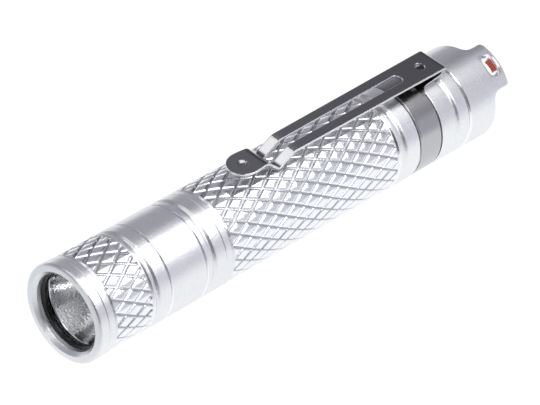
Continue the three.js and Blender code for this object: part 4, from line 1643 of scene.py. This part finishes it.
@dataclass
class PocketClip:
    """The folded steel clip: a band in the barrel's groove, a tab, a fold, and the slotted arm."""

    joint: Joint
    thickness: float = 0.45
    edge: float = 0.07
    # Painted highlights: shares of the bright colour on the strips' outer edges, the openings' edges and the
    # arm's underside.
    edge_shine: float = 0.9
    opening_shine: float = 0.54
    underside_shine: float = 0.6
    columns: int = 24
    band_inner: float = 8.5
    band_gap: float = 80.0
    band_gap_front: float = 0.2
    # Painted highlight on the band's outer face; a base darkening of the whole band; painted shade on its top
    # under the arm, fading over the reach in degrees.
    band_shine: float = 0.5
    band_darkening: float = 0.18
    band_shade: float = 0.78
    band_shade_reach: float = 30.0
    band_rows: int = 160
    tab_length: float = 4.85
    tab_height: float = 9.1
    tab_half: float = 2.45
    tab_narrow: float = 2.15
    tab_root: float = 2.2
    tab_bend: float = 0.5
    tab_step: float = 0.9
    tab_flat: float = 1.6
    tab_fillet: float = 1.2
    tab_rows: int = 12
    flare: float = 1.4
    fold: float = 1.0
    fold_rows: int = 13
    arm_share: float = 0.9
    tail_half: float = 3.15
    tail_corner: float = 1.45
    tail_lift: float = 0.35
    arm_length: float = 38.5
    arm_step: float = 0.5
    bend_half: float = 2.9
    bend_lift: float = 0.1
    bend_fillet: float = 0.9
    bend_clear: float = 1.2
    leg_run: float = 3.6
    leg_gap: float = 0.06
    leg_rows: int = 9
    valley_fillet: float = 0.7
    rise_run: float = 3.1
    paddle_rise: float = 0.4
    paddle_half: float = 2.95
    paddle_reach: float = 3.5
    paddle_fillet: float = 1.4
    paddle_clear: float = 1.0
    paddle_step: float = 0.12
    tip_reach: float = 0.35
    tip_rows: int = 40
    waist_half: float = 2.55
    waist_setback: float = 1.45
    slot_tail: float = 1.08
    slot_front: float = 0.9
    slot_setback: float = 9.6
    slot_rows: int = 14
    hole: float = 0.95
    hole_setback: float = 4.5
    hole_rows: int = 21
    dimple: float = 1.0
    dimple_setback: float = 0.3
    dimple_depth: float = 0.3
    dimple_wall: float = 0.5

    def __post_init__(self) -> None:
        """Works out the stations and heights that the band, the tab and the arm share."""
        self.band_front = AXIS.span("clip_band")[0]
        self.tip, self.end = AXIS.span("clip_arm")
        self.tip -= self.tip_reach
        self.fold_station = self.end - self.fold - self.thickness / 2
        self.band_rear = self.fold_station - self.tab_length
        self.tab_mid = self.tab_height + self.thickness / 2
        self.fold_mid = self.tab_mid + self.fold
        self.arm_mid = self.fold_mid + self.fold
        self.bend = self.fold_station - self.arm_length
        self.valley = self.bend - self.leg_run
        self.paddle_start = self.valley - self.rise_run
        self.paddle_middle = self.tip + self.paddle_reach
        self.waist = self.valley - self.waist_setback
        self.slot_end = self.end - self.slot_setback
        self.hole_middle = self.end - self.hole_setback

    def build(self, shop: Workshop) -> None:
        """Makes the band with its tab, which turns on the barrel, and the arm, which flexes at the fold.

        Args:
            shop: Finishes and fitting.
        """
        shop.fit(self._band(), shop.CLIP, "clip_band", "clip")
        # The tab's side inside the fold is all painted shade; the arm's is painted highlight.
        tab = self._strip("clip_tab", self._tab_path(), self._tab_half, None, self._tab_drop, 1.0)
        shop.fit(tab, shop.CLIP, None, "clip")
        arm = self._strip("clip_spring_arm", self._arm_path(), self._arm_half, self._opening,
                          self._arm_drop, 0.0)
        shop.fit(arm, shop.CLIP, "clip_arm", "clip_arm")

    def _band(self) -> Piece:
        """Makes the band: a rectangular section with eased edges, carried round and open at the bottom.

        Returns:
            The new object.
        """
        inner, outer = self.band_inner, self.band_inner + self.thickness
        front, rear, edge = self.band_front + self.band_gap_front, self.band_rear, self.edge
        section = np.array([
            # The third column is painted highlight: full on the eased corners, band_shine on the outer face.
            (inner, front + edge, 0), (inner + edge, front, 1),
            (outer - edge, front, 1), (outer, front + edge, self.band_shine),
            (outer, rear - edge, self.band_shine), (outer - edge, rear, 1),
            (inner + edge, rear, 1), (inner, rear - edge, 0)])
        radius, station, shine = section.T
        reach = math.pi - math.radians(self.band_gap / 2)
        angle = np.linspace(-reach, reach, self.band_rows)[:, None]
        points = AXIS.round(radius, station, angle)
        # Painted shade, darkest on top under the arm, over a base darkening of the whole band.
        clear = ease(np.abs(np.degrees(angle)), 0, self.band_shade_reach)
        painted_shade = self.band_darkening + self.band_shade * (1 - clear)
        count, last = len(section), len(section) * (self.band_rows - 1)
        return add_mesh("clip_hoop", points, grid_faces(self.band_rows, count, False, True),
                        [range(count), range(last, last + count)],
                        bright=np.tile(shine, self.band_rows), recess=np.repeat(painted_shade, count))

    def _fold_arc(self, start: float, stop: float) -> Array:
        """Gives points of the fold's middle line between two angles from the tail direction.

        Args:
            start: First angle, in degrees.
            stop: Last angle, in degrees.

        Returns:
            Stations and heights.
        """
        turn = np.radians(np.linspace(start, stop, self.fold_rows))
        return np.stack([self.fold_station + self.fold * np.cos(turn),
                         self.fold_mid + self.fold * np.sin(turn)], axis=1)

    def _tab_path(self) -> Array:
        """Gives the middle line of the tab: out of the band, up on the barrel and round half the fold.

        Returns:
            Stations and heights.
        """
        band_mid = self.band_inner + self.thickness / 2
        knots = np.array([
            (self.band_rear - self.tab_root, band_mid), (self.band_rear - self.tab_bend, band_mid),
            (self.band_rear + self.tab_step, self.tab_mid), (self.fold_station, self.tab_mid)])
        straight = np.linspace(self.band_rear + self.tab_flat, self.fold_station, self.tab_rows)
        flat = np.stack([straight, np.full_like(straight, self.tab_mid)], axis=1)
        return np.vstack([knots[:1], round_corner(*knots[:3], self.tab_fillet),
                          round_corner(*knots[1:], self.tab_fillet), flat, self._fold_arc(-90, 0)[1:]])

    def _arm_path(self) -> Array:
        """Gives the middle line of the arm: half the fold, the flat arm, the legs, the rise and the paddle.

        The flat arm has closer rows at the hole and at the slot's round end, and the paddle at its tip.

        Returns:
            Stations and heights.
        """
        low = self.joint.barrel + self.leg_gap + self.thickness / 2
        high = self.arm_mid + self.paddle_rise
        knots = np.array([
            (self.fold_station, self.arm_mid + self.tail_lift), (self.bend, self.arm_mid + self.bend_lift),
            (self.valley, low), (self.paddle_start, high), (self.tip, high)])
        fillets = (self.bend_fillet, self.valley_fillet, self.paddle_fillet)
        bend, valley, foot = (round_corner(*knots[i:i + 3], fillet) for i, fillet in enumerate(fillets))
        between = np.linspace(0, 1, self.leg_rows)[1:-1, None]
        leg = bend[-1] + between * (valley[0] - bend[-1])
        rise = valley[-1] + between * (foot[0] - valley[-1])

        hole = self.hole_middle + self.hole * np.cos(np.linspace(0, math.pi, self.hole_rows))
        slot = self.slot_end - self.slot_tail * (1 - np.sin(np.linspace(0, QUARTER_TURN, self.slot_rows)))
        even = np.arange(self.bend + self.bend_clear, self.fold_station, self.arm_step)
        flat = np.union1d(np.union1d(hole, slot), even)[::-1]
        slope = (flat - self.bend) / (self.fold_station - self.bend)
        level = self.arm_mid + self.bend_lift + slope * (self.tail_lift - self.bend_lift)
        flat = np.stack([flat, level], axis=1)
        middle = np.arange(self.paddle_start - self.paddle_clear, self.paddle_middle, -self.paddle_step)
        tip = self.tip + self.paddle_reach * (1 - np.cos(np.linspace(QUARTER_TURN, 0, self.tip_rows)))
        ends = np.concatenate([middle, tip])
        paddle = np.stack([ends, np.full_like(ends, high)], axis=1)
        fold = self._fold_arc(0, 90)
        fold[:, 1] += self.tail_lift * (fold[:, 1] - self.fold_mid) / self.fold
        return np.vstack([fold, flat, bend, leg, valley, rise, foot, paddle])

    def _tab_half(self, station: Array, height: Array) -> Array:
        """Gives the tab's half width: a fillet out of the band, then a straight taper to the fold.

        Args:
            station: Stations of the middle line.
            height: Its heights, which change nothing here.

        Returns:
            The half widths.
        """
        share = np.clip((station - self.band_rear) / self.tab_length, 0, 1)
        taper = self.tab_half + share * (self.tab_narrow - self.tab_half)
        near = np.clip(1 - (station - self.band_rear) / self.flare, 0, 1)
        return taper + self.flare * (1 - np.sqrt(1 - near ** 2))

    def _tab_drop(self, station: Array, height: Array, across: Array) -> Array:
        """Gives how far the tab drops at its sides to follow the barrel, less and less towards the fold."""
        share = np.clip((self.fold_station - station) / self.tab_length, 0, 1)
        return share * (height - np.sqrt(height ** 2 - across ** 2))

    def _arm_half(self, station: Array, height: Array) -> Array:
        """Gives the arm's half width along it: round tail corners, a taper, the waist and the oval paddle.

        Args:
            station: Stations of the middle line.
            height: Its heights, which change nothing here.

        Returns:
            The half widths.
        """
        corner = np.clip((station - (self.end - self.tail_corner)) / self.tail_corner, 0, 1)
        tail = self.tail_half - self.tail_corner * (1 - np.sqrt(1 - corner ** 2))
        taper = np.clip((self.fold_station - station) / self.arm_length, 0, 1)
        arm = tail + taper * (self.bend_half - self.tail_half)
        narrowing = ease(station, self.valley, self.waist) * (self.waist_half - self.bend_half)
        widening = ease(station, self.waist, self.paddle_middle) * (self.paddle_half - self.waist_half)
        neck = self.bend_half + narrowing + widening
        front = np.clip((self.paddle_middle - station) / self.paddle_reach, 0, 1)
        oval = self.paddle_half * np.sqrt(1 - front ** 2)
        return np.where(station > self.valley, arm, np.where(station > self.paddle_middle, neck, oval))

    def _opening(self, station: Array, height: Array) -> Array:
        """Gives the half width of the openings: the round hole, and the slot with a round and a pointed end.

        Args:
            station: Stations of the middle line.
            height: Its heights, which tell the arm from the fold.

        Returns:
            The half widths, 0 where the strip is whole.
        """
        hole = np.sqrt(np.clip(self.hole ** 2 - (station - self.hole_middle) ** 2, 0, None))
        back = np.clip((station - (self.slot_end - self.slot_tail)) / self.slot_tail, 0, 1)
        share = np.clip((station - self.valley) / (self.slot_end - self.valley), 0, 1)
        sides = self.slot_front + share * (self.slot_tail - self.slot_front)
        point = np.clip((station - self.waist) / (self.valley - self.waist), 0, 1)
        slot = sides * np.sqrt(1 - back ** 2) * point
        on_arm = height > self.fold_mid + self.arm_share * self.fold
        hole = np.where(on_arm & (np.abs(station - self.hole_middle) < self.hole), hole, 0)
        slot = np.where((station > self.waist) & (station < self.slot_end), slot, 0)
        return hole + slot

    def _arm_drop(self, station: Array, height: Array, across: Array) -> Array:
        """Gives the depth of the paddle's round dimple, which has a flat floor and a cosine wall.

        Args:
            station: Stations of the middle line.
            height: Its heights, which change nothing here.
            across: Offsets across the strip.

        Returns:
            The depths.
        """
        middle = self.paddle_middle - self.dimple_setback
        inside = self.dimple - np.sqrt((station - middle) ** 2 + across ** 2)
        return self.dimple_depth * ease(inside, 0, self.dimple_wall)

    def _strip(self, name: str, path: Array, half: HalfWidth, opening: Optional[HalfWidth],
               drop: Lowering, painted_shade: float) -> Piece:
        """Carries a flat strip along its middle line, in two halves that meet where there is no opening.

        A half's section is a loop: across its top, down its outer edge, back under it and up its inner edge,
        with eased corners. Each point goes half the thickness along the line's normal. Where there is no
        opening, the inner edges of the two halves meet and have no wall.

        Args:
            name: Name of the piece.
            path: Stations and heights of the middle line.
            half: Half width by station and height.
            opening: Half width of the openings by station and height, or none.
            drop: Lowering by station, height and offset across.
            painted_shade: Share of painted shade on the side inside the fold; that side gets painted
                highlight where it has less of it.

        Returns:
            The new object.
        """
        keep = np.concatenate([[True], np.linalg.norm(np.diff(path, axis=0), axis=1) > SAME_POINT])
        path = path[keep]
        tangent = np.gradient(path, axis=0)
        tangent /= np.linalg.norm(tangent, axis=1)[:, None]
        normal = np.stack([-tangent[:, 1], tangent[:, 0]], axis=1)
        station, height = path[:, :1], path[:, 1:]
        outer = half(station, height)
        inner = np.zeros_like(outer) if opening is None else opening(station, height)
        inner = np.clip(np.minimum(inner, outer - 4 * self.edge), 0, None)
        ease_out, ease_in = np.minimum(self.edge, outer / 4), np.minimum(self.edge, inner)
        share = np.linspace(0, 1, self.columns)[None, :]
        flat = inner + ease_in + share * (outer - ease_out - inner - ease_in)
        level = self.thickness / 2
        across = np.hstack([flat, outer, outer, flat[:, ::-1], inner, inner])
        lift = np.hstack([np.full_like(flat, level), level - ease_out, ease_out - level,
                          np.full_like(flat, -level), ease_in - level, level - ease_in])

        inside, outer_edge = slice(0, self.columns), slice(self.columns - 1, self.columns + 3)
        inner_edge = [0, -1, -2, -3]
        # Painted shade on the side inside the fold, painted highlight there where it is not shaded, and
        # painted highlight on the outer edges and the openings' edges.
        painted_shade_marks, shine = np.zeros_like(across), np.zeros_like(across)
        painted_shade_marks[:, inside] = painted_shade
        shine[:, inside] = self.underside_shine * (1 - painted_shade)
        shine[:, outer_edge] = self.edge_shine
        shine[:, inner_edge] = np.where(ease_in > 0, self.opening_shine, shine[:, inner_edge])

        along = station + lift * normal[:, :1]
        up = height + lift * normal[:, 1:] - drop(station, height, across)
        rows, size = across.shape
        whole = inner[:, 0] <= 0
        middle = np.zeros((rows - 1, size), bool)
        middle[:, -3:] = (whole[:-1] & whole[1:])[:, None]
        grid = grid_faces(rows, size, False, True)[~middle.ravel()]
        ends = [range(size), range((rows - 1) * size, rows * size)]
        points = np.vstack([AXIS.place(along, side * across, up) for side in (1, -1)])
        faces = np.vstack([grid, grid + rows * size])
        caps = [*ends, *([i + rows * size for i in end] for end in ends)]
        return add_mesh(name, points, faces, caps, sharp=STRIP_SHARP_ANGLE,
                        bright=np.tile(shine.ravel(), 2), recess=np.tile(painted_shade_marks.ravel(), 2))


@dataclass(frozen=True)
class Patch:
    """A soft round patch of the surroundings: full inside one angle, gone at another, both in degrees."""

    direction: Triple
    inner: float
    outer: float
    colour: Colour

    def cover(self, tree: Tree, source: Socket) -> Socket:
        """Gives the patch's cover from the angle between the ray and the patch's middle.

        Args:
            tree: The node tree.
            source: Socket with the ray's direction.

        Returns:
            The socket with the cover.
        """
        dot = tree.nodes.new("ShaderNodeVectorMath")
        dot.operation = "DOT_PRODUCT"
        tree.links.new(source, dot.inputs[0])
        dot.inputs[1].default_value = Vector(self.direction).normalized()
        fade = tree.nodes.new("ShaderNodeMapRange")
        fade.interpolation_type = "SMOOTHSTEP"
        limits = (math.cos(math.radians(self.outer)), math.cos(math.radians(self.inner)), 0.0, 1.0)
        for number, value in enumerate(limits, start=1):
            fade.inputs[number].default_value = value
        tree.links.new(dot.outputs["Value"], fade.inputs[0])
        return fade.outputs[0]


@dataclass(frozen=True)
class SoftBox:
    """A soft box that faces straight down, with its place and size in metres and its power in watts."""

    name: str
    place: Triple
    size: Tuple[float, float]
    power: float

    def hang(self) -> None:
        """Hangs the lamp."""
        data = bpy.data.lights.new(self.name, "AREA")
        data.shape, data.size, data.size_y, data.energy = "RECTANGLE", *self.size, self.power
        new_object(self.name, data).location = self.place


PURE_WHITE: Colour = (1.0, 1.0, 1.0)


@dataclass
class Studio:
    """Pale floor, soft lamps, and the camera at the photograph's viewing angle."""

    camera_place: Triple = (-324.68, -258.6, 343.25)
    camera_forward: Triple = (0.60557, 0.48593, -0.63018)
    camera_up: Triple = (0.39200, 0.50702, 0.76764)
    lens: float = 203.18
    sensor: float = 36.0
    clip_start: float = 0.01
    clip_end: float = 20.0
    floor_size: float = 3.0
    floor_colour: Colour = (0.9, 0.9, 0.9)
    floor_glow: float = 0.88
    floor_strength: float = 1.12
    floor_tones: Tuple[Tuple[float, Colour], ...] = (
        (-400.0, (0.16, 0.10, 0.06)), (-150.0, (0.55, 0.53, 0.52)), (-62.0, (0.68, 0.71, 0.76)),
        (-48.0, (0.955, 0.975, 1.0)))
    wall_tint: Colour = (1.0, 1.01, 1.14)
    walls: Tuple[Tuple[float, float], ...] = (
        (-180, 0.9), (-124, 0.8), (-112, 0.44), (-96, 0.31), (-35, 0.39), (-18, 0.40), (0, 0.38), (40, 0.34),
        (56, 0.62), (80, 0.62), (95, 0.8), (110, 0.92))
    patches: Tuple[Patch, ...] = (
        Patch((0.698, 0.449, 0.558), 4.5, 10.5, (0.19, 0.19, 0.215)),
        Patch((0.83, 0.33, 0.45), 11.0, 17.0, (0.06, 0.06, 0.07)),
        Patch((-0.45, -0.80, 0.40), 18.0, 32.0, (0.08, 0.075, 0.075)),
        Patch((-0.80, -0.28, 0.53), 6.0, 13.0, (0.10, 0.10, 0.11)),
        Patch((-0.05, 0.75, 0.60), 10.0, 24.0, (0.22, 0.19, 0.18)),
        Patch((-0.95, 0.0, 0.30), 10.0, 20.0, (1.2, 1.2, 1.2)),
        Patch((-0.66, -0.08, 0.745), 7.0, 14.0, (1.6, 1.6, 1.6)))
    boxes: Tuple[SoftBox, ...] = (
        SoftBox("overhead", (0.058, -0.105, 0.20), (0.215, 0.243), 0.327),
        SoftBox("behind", (-0.22, 0.36, 0.60), (0.2, 0.2), 0.3),
        SoftBox("front", (-0.105, -0.05, 0.20), (0.07, 0.13), 0.085))

    def build(self) -> None:
        """Sets up the stage."""
        self._camera()
        self._floor()
        self._world()
        for box in self.boxes:
            box.hang()
        bpy.context.scene.view_settings.view_transform = "Standard"

    def _camera(self) -> None:
        """Places the camera by its viewing direction and its upright direction."""
        data = bpy.data.cameras.new("photo_camera")
        data.lens, data.sensor_width, data.sensor_fit = self.lens, self.sensor, "HORIZONTAL"
        data.clip_start, data.clip_end = self.clip_start, self.clip_end
        camera = new_object("photo_camera", data)
        back = -Vector(self.camera_forward).normalized()
        right = Vector(self.camera_up).cross(back).normalized()
        up = back.cross(right)
        turn = Matrix((right, up, back)).transposed().to_4x4()
        camera.matrix_world = Matrix.Translation(Vector(self.camera_place) * MM) @ turn
        bpy.context.scene.camera = camera

    def _floor(self) -> None:
        """Lays the floor: white where the camera or a reflection sees it, with a faint shadow."""
        half = self.floor_size / 2
        mesh = bpy.data.meshes.new("floor")
        mesh.from_pydata([(-half, -half, 0), (half, -half, 0), (half, half, 0), (-half, half, 0)], [],
                         [(0, 1, 2, 3)])
        floor = new_object("floor", mesh)
        material = bpy.data.materials.new("pale_floor")
        material.use_nodes = True
        tree = material.node_tree
        tree.nodes.clear()
        diffuse = tree.nodes.new("ShaderNodeBsdfDiffuse")
        diffuse.inputs["Color"].default_value = (*self.floor_colour, 1)
        glow = tree.nodes.new("ShaderNodeEmission")
        glow.inputs["Strength"].default_value = self.floor_strength
        tree.links.new(self._floor_tone(tree), glow.inputs["Color"])
        path = tree.nodes.new("ShaderNodeLightPath").outputs
        seen = maths(tree, "MAXIMUM", path["Is Camera Ray"], path["Is Glossy Ray"])
        seen = maths(tree, "MAXIMUM", seen, path["Is Transmission Ray"])
        share = maths(tree, "MULTIPLY", seen, self.floor_glow)
        self._blend_out(tree, share, diffuse, glow, "ShaderNodeOutputMaterial")
        mesh.materials.append(material)

    def _floor_tone(self, tree: Tree) -> Socket:
        """Gives the floor's colour: white for the camera, and dimmer towards the front in reflections.

        Args:
            tree: The floor's nodes.

        Returns:
            The socket with the colour.
        """
        split = tree.nodes.new("ShaderNodeSeparateXYZ")
        tree.links.new(tree.nodes.new("ShaderNodeTexCoord").outputs["Object"], split.inputs[0])
        first, last = self.floor_tones[0][0], self.floor_tones[-1][0]
        place = tree.nodes.new("ShaderNodeMapRange")
        place.inputs[1].default_value, place.inputs[2].default_value = first * MM, last * MM
        tree.links.new(split.outputs["X"], place.inputs[0])
        stops = [((x - first) / (last - first), tone) for x, tone in self.floor_tones]
        tone = colour_ramp(tree, place.outputs[0], stops)
        camera = tree.nodes.new("ShaderNodeLightPath").outputs["Is Camera Ray"]
        return mix_colours(tree, tone, PURE_WHITE, camera)

    @staticmethod
    def _blend_out(tree: Tree, share: Socket, first: bpy.types.Node, second: bpy.types.Node,
                   output: str) -> None:
        """Blends two shaders into an output node.

        Args:
            tree: The node tree.
            share: Socket with the second shader's share.
            first: First shader.
            second: Second shader.
            output: Type of the output node.
        """
        mix = tree.nodes.new("ShaderNodeMixShader")
        for slot, socket in zip(mix.inputs, (share, first.outputs[0], second.outputs[0])):
            tree.links.new(socket, slot)
        tree.links.new(mix.outputs[0], tree.nodes.new(output).inputs[0])

    def _world(self) -> None:
        """Makes the surroundings: white for the camera, and a studio of grey walls for everything else.

        The brightness follows the angle about the barrel's axis, counted from straight up towards the near
        side, so that each strip of the barrel mirrors its own part of the walls. The patches lie over them.
        """
        world = bpy.data.worlds.new("studio")
        bpy.context.scene.world = world
        world.use_nodes = True
        tree = world.node_tree
        tree.nodes.clear()
        ray = tree.nodes.new("ShaderNodeTexCoord").outputs["Generated"]
        split = tree.nodes.new("ShaderNodeSeparateXYZ")
        tree.links.new(ray, split.inputs[0])
        near = maths(tree, "MULTIPLY", split.outputs["Y"], -1.0)
        angle = maths(tree, "ARCTAN2", near, split.outputs["Z"])
        share = maths(tree, "MULTIPLY_ADD", angle, 1 / FULL_TURN, 0.5)
        stops = [(degrees / 360 + 0.5, tuple(value * tint for tint in self.wall_tint))
                 for degrees, value in self.walls]
        tone = colour_ramp(tree, share, stops)
        for patch in self.patches:
            tone = mix_colours(tree, tone, patch.colour, patch.cover(tree, ray))
        around = tree.nodes.new("ShaderNodeBackground")
        tree.links.new(tone, around.inputs["Color"])
        white = tree.nodes.new("ShaderNodeBackground")
        white.inputs["Color"].default_value = (*PURE_WHITE, 1)
        camera = tree.nodes.new("ShaderNodeLightPath").outputs["Is Camera Ray"]
        self._blend_out(tree, camera, around, white, "ShaderNodeOutputWorld")


def main() -> None:
    """Builds the flashlight's pieces in order, then the stage."""
    logging.basicConfig(level=logging.INFO, format="%(name)s: %(message)s")
    shop = Workshop()
    joint = Joint()
    for part in (Bezel(joint), Head(joint), BodyTube(joint), TailCap(joint), PocketClip(joint)):
        part.build(shop)
    shop.dress_inner()
    Studio().build()


if __name__ == "__main__":
    main()
